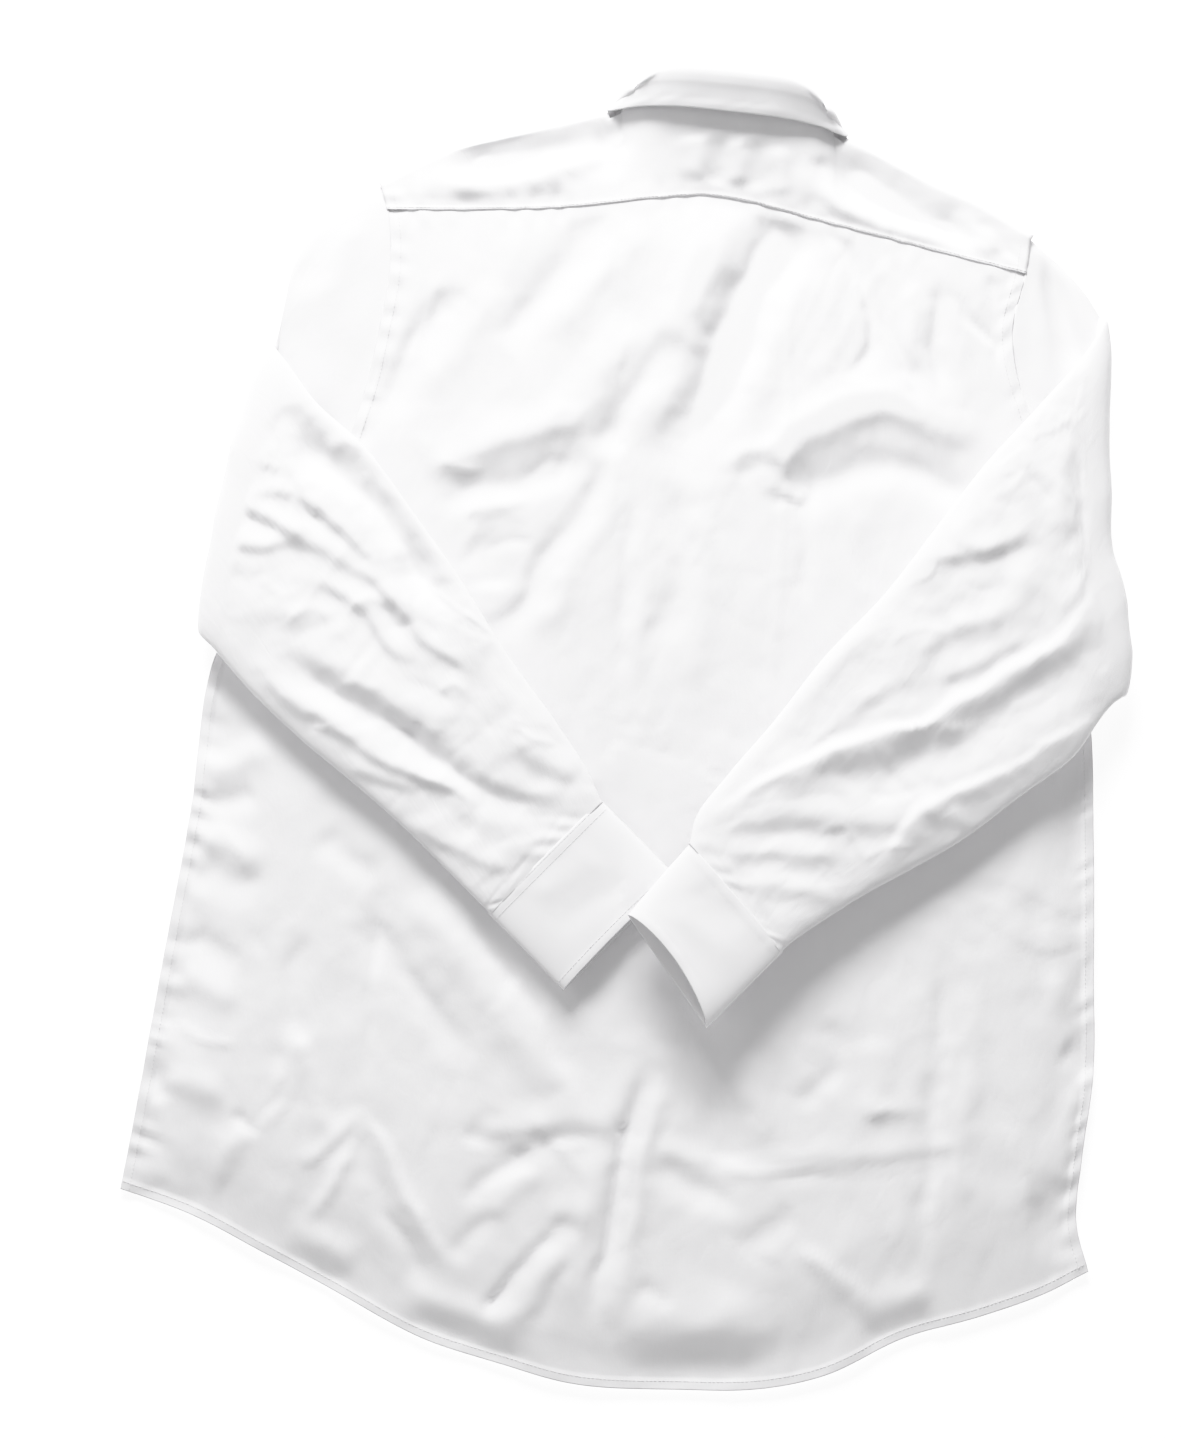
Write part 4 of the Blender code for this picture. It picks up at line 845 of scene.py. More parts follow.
def yoke_grid():
    """The yoke, from the back seam over both shoulders.

    Returns its grid, the columns where the neck starts and ends, and the row of the shoulder folds.
    """
    counts = (66, 62, 50)
    u = np.concatenate([
        np.linspace(0, NECK_SPAN[0], counts[0] + 1)[:-1],
        np.linspace(*NECK_SPAN, counts[1] + 1)[:-1],
        np.linspace(NECK_SPAN[1], 1, counts[2] + 1),
    ])
    seam = line(YOKE_SEAM, u) - (0, SEAM)
    fold_left, out_left = shoulder(SHOULDER_LEFT, np.linspace(0, 1, counts[0] + 1))
    fold_right, out_right = shoulder(SHOULDER_RIGHT, np.linspace(0, 1, counts[2] + 1))
    t = np.linspace(-1, 1, counts[1] + 1)
    neck = collar_place(loop(STAND_BASE, NECK_BACK * t))
    neck[:, 1] += 0.8 - 2.4 * np.abs(t) ** 3
    neck[:, 0] += 1.2 * t**3
    fold = np.vstack([fold_left, neck[1:-1, :2], fold_right])
    out = np.vstack([out_left, np.tile((0.1, 0.99), (counts[1] - 1, 1)), out_right])
    first, last = counts[0], counts[0] + counts[1]
    inset = np.full(len(u), BODY_HALF)
    inset[first + 1:last] = 0
    edge = fold - inset[:, None] * out
    for armhole, k in ((ARMHOLE_LEFT, 0), (ARMHOLE_RIGHT, -1)):
        far = np.linalg.norm(fold - fold[k], axis=1)
        edge += (line(armhole, [BODY_HALF / 300])[0] - edge[k]) * (1 - ease(far / 18))[:, None]
    top = np.full(len(u), BODY_MID + BODY_HALF)
    top[first:last + 1] = np.maximum(neck[:, 2] - 0.2, 9.6)
    low = rest_height(edge)
    half = (top - low) / 2
    rows = []
    for f in np.linspace(0, 1, 5):
        z = (BODY_MID + BODY_HALF) * (1 - f) + top * f
        rows.append(np.column_stack([seam * (1 - f) + edge * f, z]))
    for angle in (45, 90, 135, 180):
        a = math.radians(angle)
        z = low + half + half * math.cos(a)
        rows.append(np.column_stack([edge + inset[:, None] * out * math.sin(a), z]))
    for f in (0.5, 1.0):
        xy = edge - out * YOKE_FRONT * f
        for armhole, k, far in ((ARMHOLE_LEFT, 0, u), (ARMHOLE_RIGHT, -1, 1 - u)):
            shift = line(armhole, [(BODY_HALF + YOKE_FRONT * f) / 300])[0] - xy[k]
            xy = xy + shift * np.clip(1 - far * 25 / 6, 0, 1)[:, None]
        rows.append(np.column_stack([xy, rest_height(xy)]))
    grid = np.stack(rows, axis=1)
    at = np.arange(11.0)
    stretches = ((0, 0.5, 7), (0.5, 4, 26), (4, 8, 17), (8, 10, 9))
    wanted = np.unique(np.concatenate([np.linspace(*stretch) for stretch in stretches]))
    flat = grid.transpose(1, 0, 2).reshape(11, -1)
    grid = steady_rows(at, flat, wanted).reshape(len(wanted), len(u), 3).transpose(1, 0, 2)
    xy = grid[..., :2]
    du, dv = lengths(grid, 0), lengths(grid, 1)
    outer = (1 - ease((wanted - 4.0) / 1.2))[None]
    hand = FOLD_SHARE * fold_height(xy, YOKE_FOLDS) + 0.6 * crumple(xy, *YOKE_CRUMPLE)
    calm = ease(np.minimum(du, from_end(du, 0)) / 14) * ease(dv / 12)
    is_neck = (np.arange(len(u)) >= first) & (np.arange(len(u)) <= last)
    calm = calm * np.where(is_neck, ease((4 - wanted)[:, None] / 0.8), 1).T
    z = grid[..., 2] + hand * calm * outer
    z += (0.3 + turned_hem(dv, *YOKE_TURN) + pucker(dv, du, *YOKE_GATHERS)) * outer
    for far, gathers in zip((du, from_end(du, 0)), YOKE_END_GATHERS):
        z += (turned_hem(far, *YOKE_END_TURN) + pucker(far, dv, *gathers)) * outer
    grid = np.dstack([xy, np.where(outer > 0, np.maximum(z, 4.2 * outer), z)])
    return grid, first, last, int(np.searchsorted(wanted, 4.0))


def centre_front(f, past):
    """Points from the neck (f = 0) to the hem (f = 1), this far to one side of the centre front."""
    a, b = np.array(CENTRE_FRONT[0]), np.array(CENTRE_FRONT[1])
    run = (b - a) / np.linalg.norm(b - a)
    return a + np.asarray(f)[:, None] * (b - a) + past * np.array([-run[1], run[0]])


def front_grid(armhole, side, flap, sign):
    """One front: hem at the start, shoulder and neckline at the end."""
    u = spaced(310, FRONT_COUNTS[0], EDGE_PLACES)
    v = spaced(BODY_LENGTH, FRONT_COUNTS[1], EDGE_PLACES)
    edge = side_line(armhole, side, FRONT_START, FRONT_UNDERARM, v)
    steps = np.linspace(1.0, NECK_FRONT, 24)
    neck = collar_place(loop(STAND_BASE, sign * steps))[:, :2]
    centre = collar_place(np.array([[0, -45, 0]]))[0, :2]
    away = neck - centre
    neck = neck + away / np.linalg.norm(away, axis=1)[:, None] * (SEAM + 0.7)
    opening = centre_front(np.zeros(1), -sign * OVERLAP)
    flap_line = flap[:, :2] - (0, SEAM + 0.2)
    if sign < 0:
        top = np.vstack([flap_line, neck[::-1][1:], opening])
    else:
        top = np.vstack([opening, neck[:-1], flap_line])
    top = line(top[::4].tolist() + [top[-1].tolist()], u)
    hem_all = line(FRONT_HEM, np.linspace(0, 1, 400))
    foot = centre_front(np.ones(1), -sign * OVERLAP)[0]
    at = int(np.argmin(np.abs(hem_all[:, 0] - foot[0])))
    part = hem_all[:at + 1] if sign < 0 else hem_all[at:]
    hem = line(part[::20].tolist() + [part[-1].tolist()], u)
    opening_line = centre_front(1 - v, -sign * OVERLAP)
    left, right = (edge, opening_line) if sign < 0 else (opening_line, edge)
    left[0], left[-1], right[0], right[-1] = hem[0], top[0], hem[-1], top[-1]
    xy = patch(hem, top, left, right, u, v)
    z = rest_height(xy)
    if sign > 0:
        a, b = CENTRE_FRONT
        f = np.clip((xy[..., 1] - a[1]) / (b[1] - a[1]), 0, 1)
        z = z + 1.2 * (1 - ease((xy[..., 0] - (a[0] + f * (b[0] - a[0])) - 34) / 22))
    flat = np.dstack([xy, z])
    du, dv = lengths(flat, 0), lengths(flat, 1)
    inside = ease(np.minimum(np.minimum(du, from_end(du, 0)), np.minimum(dv, from_end(dv, 1))) / 20)
    folds = fold_height(xy, FRONT_FOLDS) + 0.4 * crumple(xy, *FRONT_CRUMPLE)
    z = z + inside * np.clip(folds, 0, 1.2)
    return np.dstack([xy, z])


# ---------------------------------------------------------------- collar
def collar_place(points):
    """Points of the collar's own frame, in the shirt's."""
    turn = math.radians(COLLAR_TURN)
    c, s = math.cos(turn), math.sin(turn)
    out = np.array(points, float)
    x, y = out[..., 0].copy(), out[..., 1].copy()
    out[..., 0] = COLLAR_AT[0] + x * c - y * s
    out[..., 1] = COLLAR_AT[1] + x * s + y * c
    return out


def loop(rows, t):
    """Whole collar loop from the half table: t from -1 (centre front, left) through 0 (back) to 1."""
    t = np.asarray(t, float)
    half = np.array(rows, float)
    side = smooth_rows(np.linspace(0, 1, len(half)), half, np.abs(t))
    side[:, 0] *= np.where(t < 0, -1, 1)
    return side


def stand_grid():
    """The collar stand, its right end lifted over its left at the centre front."""
    t = np.linspace(-1, 1, 201)
    base, top = loop(STAND_BASE, t), loop(STAND_TOP, t)
    lead = np.array([[14.0, -75.5, 2.1], [12.0, -46.0, 2.1]])
    base = np.vstack([lead[:1], base, lead[:1] * (-1, 1, 1)])
    top = np.vstack([lead[1:], top, lead[1:] * (-1, 1, 1)])
    rise = 2.1 * ease((np.append(np.insert(t, 0, -1), 1) - 0.7) / 0.15)
    base[:, 2] += rise
    top[:, 2] += rise
    top -= nearer(np.append(np.insert(t, 0, -1), 1))
    f = np.linspace(0, 1, 15)[None, :, None]
    return collar_place(base[:, None] * (1 - f) + top[:, None] * f)


def nearer(t):
    """How far the collar's turn leans back over the yoke, round the back of the neck."""
    return (6.5 * (1 - ease((np.abs(t) - 0.48) / 0.16)))[:, None] * (0, 1, 0)


def fall_grid():
    """The fall, from the top of the stand over its turn to the free edge and both points."""
    end = 1 - FALL_END / 50
    t = np.linspace(-end, end, 261)
    base, top = loop(STAND_BASE, t), loop(STAND_TOP, t)
    middle, edge = loop(FALL_MIDDLE, t / end), loop(FALL_EDGE, t / end)
    for row in (top, middle, edge):
        row -= nearer(t)
    edge[:, 1] -= 1.2 * (1 - ease((np.abs(t) - 0.3) / 0.1))
    up = top - base
    up /= np.linalg.norm(up, axis=1)[:, None]
    ahead = np.gradient(top, axis=0)
    ahead /= np.linalg.norm(ahead, axis=1)[:, None]
    out = np.cross(up, ahead)
    out /= np.linalg.norm(out, axis=1)[:, None]
    if out[len(out) // 2, 2] < 0:
        out = -out
    away = np.abs(t)
    room = (1.2 + 1.1 * ease((away - 0.16) / 0.08) * ease((0.59 - away) / 0.08))[:, None]
    cap = top + room * (up + out)
    cap[:, 2] = np.where(away > 0.7, 1.75, cap[:, 2])
    round_off = out * (1 - ease((away - 0.5) / 0.12))[:, None]
    middle = middle + 0.8 * round_off
    rows = [top + room * up - 0.7 * out, cap, cap * 0.8 + middle * 0.2 + room * 0.6 * round_off]
    rows += [cap * 0.4 + middle * 0.6 + 0.8 * round_off, middle]
    rows += [middle * 0.5 + edge * 0.5, edge]
    rows = [np.column_stack([row[:, :2], np.maximum(row[:, 2], 1.75)]) for row in rows]
    grid = relax(between_rows(np.stack(rows, axis=1), 34, (0.8, 2, 4, 5.6, 6.6)), 2)
    far = from_end(lengths(grid, 1), 1)
    along = lengths(grid, 0)
    lift = pucker(far, along, *FALL_GATHERS) + 0.25 * np.exp(-((far - 3) / 2.6) ** 2)
    soft = 0.5 * ripple(np.stack([along, far], axis=-1), 38, 72)
    grid[..., 2] += (lift + soft * ease(far / 6)) * ease((grid[..., 2] - 2.5) / 4)
    return collar_place(grid)


# ---------------------------------------------------------------- sleeves and cuffs
def ring_places(fine, coarse):
    """Places round a flattened tube: (s, over) with over 1 on one layer and -1 on the other."""
    layers = []
    for count in (coarse, fine):
        even = np.linspace(0, 1, count + 1)
        layers.append(0.45 * (0.5 - 0.5 * np.cos(np.pi * even)) + 0.55 * even)
    one, two = layers
    s = np.concatenate([one, two[-2:0:-1]])
    over = np.concatenate([np.ones(len(one)), -np.ones(len(two) - 2)])
    return s, over


def ring(a, b, turn, out, half, s, over, spine=None):
    """One ring of a flattened tube, from its inner edge a over the top to its outer edge b and back below."""
    angle = math.radians(turn)
    middle = a + s[:, None] * (b - a)
    if spine is not None:
        middle[:, :2] = spine
    centre = FOLD_RADIUS * np.array([math.sin(angle) * out[0], math.sin(angle) * out[1], 1 - math.cos(angle)])
    normal = np.array([-math.sin(angle) * out[0], -math.sin(angle) * out[1], math.cos(angle)])
    if turn < 90:
        half = half * (1 - s) + min(half, b[2] - 0.1) * s
    return middle + centre + normal * (half * swell(s) * over)[:, None]


def sleeve_grid(armhole, rows, sign, folds, pressed, bend, seed):
    """A sleeve from its armhole seam, over the fold at the side of the body, to its cuff."""
    first, last = np.array(rows[4][1:3]), np.array(rows[4][4:6])
    run = (last - first) / np.linalg.norm(last - first)
    out = np.array([run[1], -run[0]]) if sign < 0 else np.array([-run[1], run[0]])
    step = np.array([ARMHOLE_SEAM * sign, 0])
    s, over = ring_places(76, 40)
    spine = line(armhole, s) + step
    a, b = np.append(spine[0], BODY_MID), np.append(line(armhole, [1])[0] + step, UNDERARM_MID)
    start = ring(a, b, 0, out, 1.0, s, over, spine)
    steep = 7 + 9 * (1 - ease((s - 0.1) / 0.2))
    half = BODY_HALF * (1 - s) + UNDERARM_HALF * s
    start[:, 2] = a[2] * (1 - s) + b[2] * s + swell(s, steep) * over * half
    start[:, 2] += 0.9 * (over > 0) * swell(s, steep) * (1 - ease((s - 0.08) / 0.2))
    rings = [start]
    for turn, ax, ay, az, bx, by, bz, half in rows:
        inner, outer = np.array((ax, ay, az), float), np.array((bx, by, bz), float)
        rings.append(ring(inner, outer, turn, out, half, s, over))
    grid = np.stack(rings, axis=1)
    at = np.concatenate([[0], np.cumsum(np.linalg.norm(np.diff(grid.mean(axis=0), axis=0), axis=1))])
    at[4:8] = at[3] + np.array([5.5, 11, 16.5, 22]) + (0, 0, 0, 4)
    at[8:] += 12
    at = np.maximum.accumulate(at + np.arange(len(at)) * 1e-3)
    stretches = ((8, at[3], 18), (at[3], at[7], 22), (at[7], at[-1], 168))
    near_seams = [[0, 0.8, 2, 4, 6, 7], at[-1] - np.array([0.8, 2, 4, 6])]
    wanted = np.unique(np.concatenate([*near_seams, *(np.linspace(*stretch) for stretch in stretches)]))
    flat = grid.transpose(1, 0, 2).reshape(grid.shape[1], -1)
    grid = steady_rows(at, flat, wanted).reshape(len(wanted), len(s), 3).transpose(1, 0, 2)
    grid = np.concatenate([grid, grid[:1]], axis=0)
    ends = grid[:, [0, -1]].copy()
    grid = relax(grid, 2, closed=True)
    grid[:, [0, -1]] = ends
    s, over = np.append(s, s[0]), np.append(over, over[0])
    head = wanted <= at[3]
    PILE.add(grid[:, head])
    xy = grid[..., :2]
    hand = 1.35 * fold_height(xy, folds) + 1.3 * pressed_height(xy, pressed)
    hand += crumple(xy, 22, seed, 35 * sign + 90, 1.7) + 0.4 * crumple(xy, 9, seed + 9, 20, 1.4)
    after = ease((wanted - at[7]) / 14)[None]
    before = (1 - ease((wanted - at[3] + 6) / 8))[None] * ease(wanted / 16)[None]
    above, below = (over < 0)[:, None], (over > 0)[:, None]
    calm = swell(s, 3.2)[:, None]
    to_cuff = ease((wanted[-1] - wanted) / 16)[None]
    grid[..., 2] += hand * calm * (above * after * to_cuff + below * before)
    roll = ease((wanted - at[3]) / 5) * ease((at[7] + 6 - wanted) / 5)
    wave = ripple(np.stack([s[:, None] * 260 + 0 * wanted, 0 * s[:, None] + wanted], axis=-1), 30, seed + 3)
    bent = np.interp(s, np.linspace(0, 1, len(bend)), bend)[:, None]
    grid[..., :2] += (1.6 * wave * calm * roll)[..., None] * out
    reach = ease((wanted - at[3] + 24) / 24) * ease((at[7] + 46 - wanted) / 46)
    grid[..., :2] += (bent * reach)[..., None] * out
    # what lies under the sleeve holds it up
    bed = PILE.at(grid[..., :2])
    folded = (wanted > at[5])[None]
    grid[..., 2] = np.where(folded & below, np.maximum(grid[..., 2], bed + 0.7), grid[..., 2])
    grid[..., 2] = np.where(folded & above, np.maximum(grid[..., 2], bed + 2.0), grid[..., 2])
    grid[..., 2] = np.maximum(grid[..., 2], LEAST_Z)
    # seams at the armhole and at the cuff
    du = lengths(grid, 0)
    grid[..., 2] += pucker(wanted[None] + 0 * du, du, 6, 5.5, 0.35, seed + 4) * below
    grid[..., 2] += pucker(wanted[-1] - wanted[None] + 0 * du, du, 12, 8, 0.7, seed + 5) * above * calm
    grid[..., 2] = np.maximum(grid[..., 2], LEAST_Z)
    return grid


def cuff_grid(rows, folds, mouth, seed):
    """A cuff. At its mouth the upper layer draws back by this much, so that the inside shows."""
    s, over = ring_places(60, 40)
    rings = []
    for ax, ay, az, bx, by, bz, half in rows:
        a, b = np.array((ax, ay, az), float), np.array((bx, by, bz), float)
        points = a + s[:, None] * (b - a)
        points[:, 2] -= half * swell(s, 4.0) * over
        rings.append(points)
    grid = between_rows(np.stack(rings, axis=1), 48, (0.8, 1.8, 3.2, 5.2, 6.2, 7.6))
    grid = np.concatenate([grid, grid[:1]], axis=0)
    s, over = np.append(s, s[0]), np.append(over, over[0])
    du, dv = lengths(grid, 0), lengths(grid, 1)
    xy = grid[..., :2]
    above = (over < 0)[:, None] * swell(s, 3.2)[:, None]
    far, seam_far = from_end(dv, 1), dv
    lift = fold_height(xy, folds) * ease(far / 12) + 0.35 * ripple(xy, 34, seed)
    lift += pucker(far, du, 8, 12, 0.12, seed + 1) + 0.28 * np.exp(-((far - 3.2) / 2.4) ** 2)
    lift += 0.35 * np.exp(-((seam_far - 3.2) / 2.6) ** 2) + pucker(seam_far, du, 8, 9, 0.16, seed + 2)
    grid[..., 2] += lift * above
    back = np.array(rows[0][:2]) - np.array(rows[-1][:2])
    drawn = mouth * np.sin(np.pi * s)[:, None] ** 0.7 * (over < 0)[:, None] * ease((26 - far) / 26)
    grid[..., :2] += drawn[..., None] * back / np.linalg.norm(back)
    return grid


# ---------------------------------------------------------------- stitching
def place_on(grid, i, j):
    """Point of a grid at these places between its rows and columns."""
    i, j = np.clip(i, 0, grid.shape[0] - 1.001), np.clip(j, 0, grid.shape[1] - 1.001)
    a, b = np.floor(i).astype(int), np.floor(j).astype(int)
    f, g = (i - a)[:, None], (j - b)[:, None]
    low = grid[a, b] * (1 - f) + grid[a + 1, b] * f
    high = grid[a, b + 1] * (1 - f) + grid[a + 1, b + 1] * f
    return low * (1 - g) + high * g


def inset_line(grid, edge, distance, keep=None):
    """Line on a panel at this distance from one of its edges: hem, top, left or right."""
    axis = 1 if edge in ("hem", "top") else 0
    far = lengths(grid, axis)
    if edge in ("top", "right"):
        far = from_end(far, axis)
    count = grid.shape[1 - axis]
    found = np.empty(count)
    for k in range(count):
        row = far[k] if axis == 1 else far[:, k]
        steps = np.arange(len(row), dtype=float)
        if row[0] > row[-1]:
            row, steps = row[::-1], steps[::-1]
        found[k] = np.interp(distance, row, steps)
    other = np.arange(count, dtype=float)
    if keep is not None:
        picked = slice(*keep)
        other, found = other[picked], found[picked]
    return (other, found) if axis == 1 else (found, other)


def stitch_rows(name, rows, thread):
    """One mesh with every stitch of these rows: short rounded threads lying along each line."""
    settings = bpy.context.scene.shirt_stitching
    pitch, length = settings.pitch / MM, settings.length / MM
    radius = settings.thickness / MM / 2
    sides, profile = 5, ((-0.5, 0.25), (-0.3, 0.95), (0.3, 0.95), (0.5, 0.25))
    rng = np.random.default_rng(7)
    verts, faces = [], []
    for grid, i, j, lift in rows:
        spots = place_on(grid, i, j)
        across = place_on(grid, i + 0.6, j) - place_on(grid, i - 0.6, j)
        along = place_on(grid, i, j + 0.6) - place_on(grid, i, j - 0.6)
        normal = np.cross(across, along)
        normal /= np.maximum(np.linalg.norm(normal, axis=1), 1e-9)[:, None]
        normal *= lift / max(abs(lift), 1e-9)
        run = np.concatenate([[0], np.cumsum(np.linalg.norm(np.diff(spots, axis=0), axis=1))])
        marks = np.arange(pitch * 0.7, run[-1] - pitch * 0.5, pitch)
        marks = marks + rng.uniform(-0.12, 0.12, len(marks)) * pitch
        at = np.stack([np.interp(marks, run, spots[:, k]) for k in range(3)], axis=1)
        ahead = np.stack([np.interp(marks + 0.8, run, spots[:, k]) for k in range(3)], axis=1) - at
        up = np.stack([np.interp(marks, run, normal[:, k]) for k in range(3)], axis=1)
        ahead /= np.maximum(np.linalg.norm(ahead, axis=1), 1e-9)[:, None]
        side = np.cross(up, ahead)
        side /= np.maximum(np.linalg.norm(side, axis=1), 1e-9)[:, None]
        for p, d, n, w in zip(at, ahead, up, side):
            base = len(verts)
            for f, thick in profile:
                middle = p + d * length * f + n * (abs(lift) + radius * (0.5 if abs(f) < 0.4 else -0.3))
                for k in range(sides):
                    a = 2 * math.pi * k / sides
                    verts.append(middle + radius * thick * (w * math.cos(a) + n * math.sin(a)))
            for m in range(len(profile) - 1):
                for k in range(sides):
                    one, two = base + m * sides + k, base + m * sides + (k + 1) % sides
                    faces.append((one, two, two + sides, one + sides))
            faces.append(tuple(base + k for k in range(sides))[::-1])
            faces.append(tuple(base + (len(profile) - 1) * sides + k for k in range(sides)))
    mesh = bpy.data.meshes.new(name)
    places = (np.array(verts) - (*ORIGIN, 0)) * MM
    mesh.from_pydata(places.tolist(), [], faces)
    mesh.polygons.foreach_set("use_smooth", np.ones(len(mesh.polygons), bool))
    item = bpy.data.objects.new(name, mesh)
    bpy.context.scene.collection.objects.link(item)
    item.data.materials.append(thread)
    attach(item, "root")


# ---------------------------------------------------------------- finishes
def node(tree, kind, **inputs):
    """A new shader node with these values on its inputs."""
    made = tree.nodes.new(kind)
    for name, value in inputs.items():
        made.inputs[name.replace("_", " ")].default_value = value
    return made


def math_node(tree, operation, one, two=None):
    """The output of a new maths node. Each of its two inputs is a number or another node's output."""
    made = tree.nodes.new("ShaderNodeMath")
    made.operation = operation
    for socket, value in zip(made.inputs, (one, two)):
        if value is None:
            continue
        if isinstance(value, (int, float)):
            socket.default_value = value
        else:
            tree.links.new(value, socket)
    return made.outputs[0]


def poplin_group():
    """Plain weave: fine threads both ways, slubs along them, faint creases and a cloudy tone."""
    found = bpy.data.node_groups.get("poplin_weave")
    if found:
        return found
    group = bpy.data.node_groups.new("poplin_weave", "ShaderNodeTree")
    face = group.interface
    face.new_socket(name="Grain", in_out="INPUT", socket_type="NodeSocketVector")
    for name, value in (("Threads per metre", 2600.0), ("Slub", 0.5), ("Crease", 0.5), ("Tone", 0.03)):
        face.new_socket(name=name, in_out="INPUT", socket_type="NodeSocketFloat").default_value = value
    for name in ("Height", "Shade", "Roughness"):
        face.new_socket(name=name, in_out="OUTPUT", socket_type="NodeSocketFloat")
    start, end = group.nodes.new("NodeGroupInput"), group.nodes.new("NodeGroupOutput")
    link = group.links.new
    split = group.nodes.new("ShaderNodeSeparateXYZ")
    link(start.outputs["Grain"], split.inputs[0])
    waves = []
    for axis in ("X", "Y"):
        turns = math_node(group, "MULTIPLY", split.outputs[axis], start.outputs["Threads per metre"])
        waves.append(math_node(group, "SINE", math_node(group, "MULTIPLY", turns, math.pi)))
    weave = math_node(group, "MULTIPLY", waves[0], waves[1])
    slubs = []
    for across, along in ((900.0, 24.0), (24.0, 900.0)):
        scale = group.nodes.new("ShaderNodeMapping")
        scale.inputs["Scale"].default_value = (across, along, 1)
        link(start.outputs["Grain"], scale.inputs["Vector"])
        noise = node(group, "ShaderNodeTexNoise", Scale=1.0, Detail=1.0, Roughness=0.5)
        link(scale.outputs[0], noise.inputs["Vector"])
        slubs.append(noise.outputs["Fac"])
    slub = math_node(group, "MULTIPLY", math_node(group, "ADD", slubs[0], slubs[1]), start.outputs["Slub"])
    stretch = group.nodes.new("ShaderNodeMapping")
    stretch.inputs["Scale"].default_value = (1.0, 0.55, 1)
    link(start.outputs["Grain"], stretch.inputs["Vector"])
    soft = node(group, "ShaderNodeTexNoise", Scale=95.0, Detail=4.0, Roughness=0.55, Distortion=0.6)
    link(stretch.outputs[0], soft.inputs["Vector"])
    crease = math_node(group, "MULTIPLY", soft.outputs["Fac"], start.outputs["Crease"])
    cloud = node(group, "ShaderNodeTexNoise", Scale=9.0, Detail=3.0, Roughness=0.5)
    link(start.outputs["Grain"], cloud.inputs["Vector"])
    threads = math_node(group, "MULTIPLY", weave, 0.06)
    height = math_node(group, "ADD", threads, math_node(group, "MULTIPLY", slub, 0.1))
    link(math_node(group, "ADD", height, crease), end.inputs["Height"])
    uneven = math_node(group, "ADD", cloud.outputs["Fac"], math_node(group, "MULTIPLY", slub, 0.35))
    shade = math_node(group, "MULTIPLY", math_node(group, "SUBTRACT", uneven, 0.85), start.outputs["Tone"])
    link(math_node(group, "ADD", shade, 1.0), end.inputs["Shade"])
    patchy = math_node(group, "MULTIPLY", cloud.outputs["Fac"], 0.12)
    link(math_node(group, "ADD", patchy, 0.7), end.inputs["Roughness"])
    return group


def cloth_finish(name, colour, crease, tone, sheen=0.12):
    """White cotton cloth: its weave and creases in the bump, a soft sheen on the shader."""
    made = bpy.data.materials.new(name)
    made.use_nodes = True
    tree = made.node_tree
    shader = tree.nodes["Principled BSDF"]
    shader.inputs["Sheen Weight"].default_value = sheen
    shader.inputs["Sheen Roughness"].default_value = 0.45
    shader.inputs["Specular IOR Level"].default_value = 0.25
    grain = tree.nodes.new("ShaderNodeAttribute")
    grain.attribute_name = "grain"
    weave = tree.nodes.new("ShaderNodeGroup")
    weave.node_tree = poplin_group()
    weave.inputs["Crease"].default_value = crease
    weave.inputs["Tone"].default_value = tone
    tree.links.new(grain.outputs["Vector"], weave.inputs["Grain"])
    tint = tree.nodes.new("ShaderNodeVectorMath")
    tint.operation = "SCALE"
    tint.inputs[0].default_value = colour
    tree.links.new(weave.outputs["Shade"], tint.inputs["Scale"])
    tree.links.new(tint.outputs[0], shader.inputs["Base Color"])
    tree.links.new(weave.outputs["Roughness"], shader.inputs["Roughness"])
    bump = node(tree, "ShaderNodeBump", Strength=0.5, Distance=0.0006)
    tree.links.new(weave.outputs["Height"], bump.inputs["Height"])
    tree.links.new(bump.outputs[0], shader.inputs["Normal"])
    return made


def thread_finish():
    """Spun sewing thread: its twist runs round each stitch."""
    made = bpy.data.materials.new("white_thread")
    made.use_nodes = True
    tree = made.node_tree
    shader = tree.nodes["Principled BSDF"]
    shader.inputs["Sheen Weight"].default_value = 0.2
    place = tree.nodes.new("ShaderNodeTexCoord")
    twist = node(tree, "ShaderNodeTexWave", Scale=900.0, Distortion=1.5)
    twist.bands_direction = "DIAGONAL"
    tree.links.new(place.outputs["Object"], twist.inputs["Vector"])
    ramp = tree.nodes.new("ShaderNodeValToRGB")
    colour = tuple(bpy.context.scene.shirt_stitching.colour)
    ramp.color_ramp.elements[0].color = (*(0.9 * c for c in colour), 1)
    ramp.color_ramp.elements[1].color = (*colour, 1)
    tree.links.new(twist.outputs["Fac"], ramp.inputs["Fac"])
    tree.links.new(ramp.outputs["Color"], shader.inputs["Base Color"])
    shader.inputs["Roughness"].default_value = 0.6
    bump = node(tree, "ShaderNodeBump", Strength=0.4, Distance=0.0001)
    tree.links.new(twist.outputs["Fac"], bump.inputs["Height"])
    tree.links.new(bump.outputs[0], shader.inputs["Normal"])
    return made


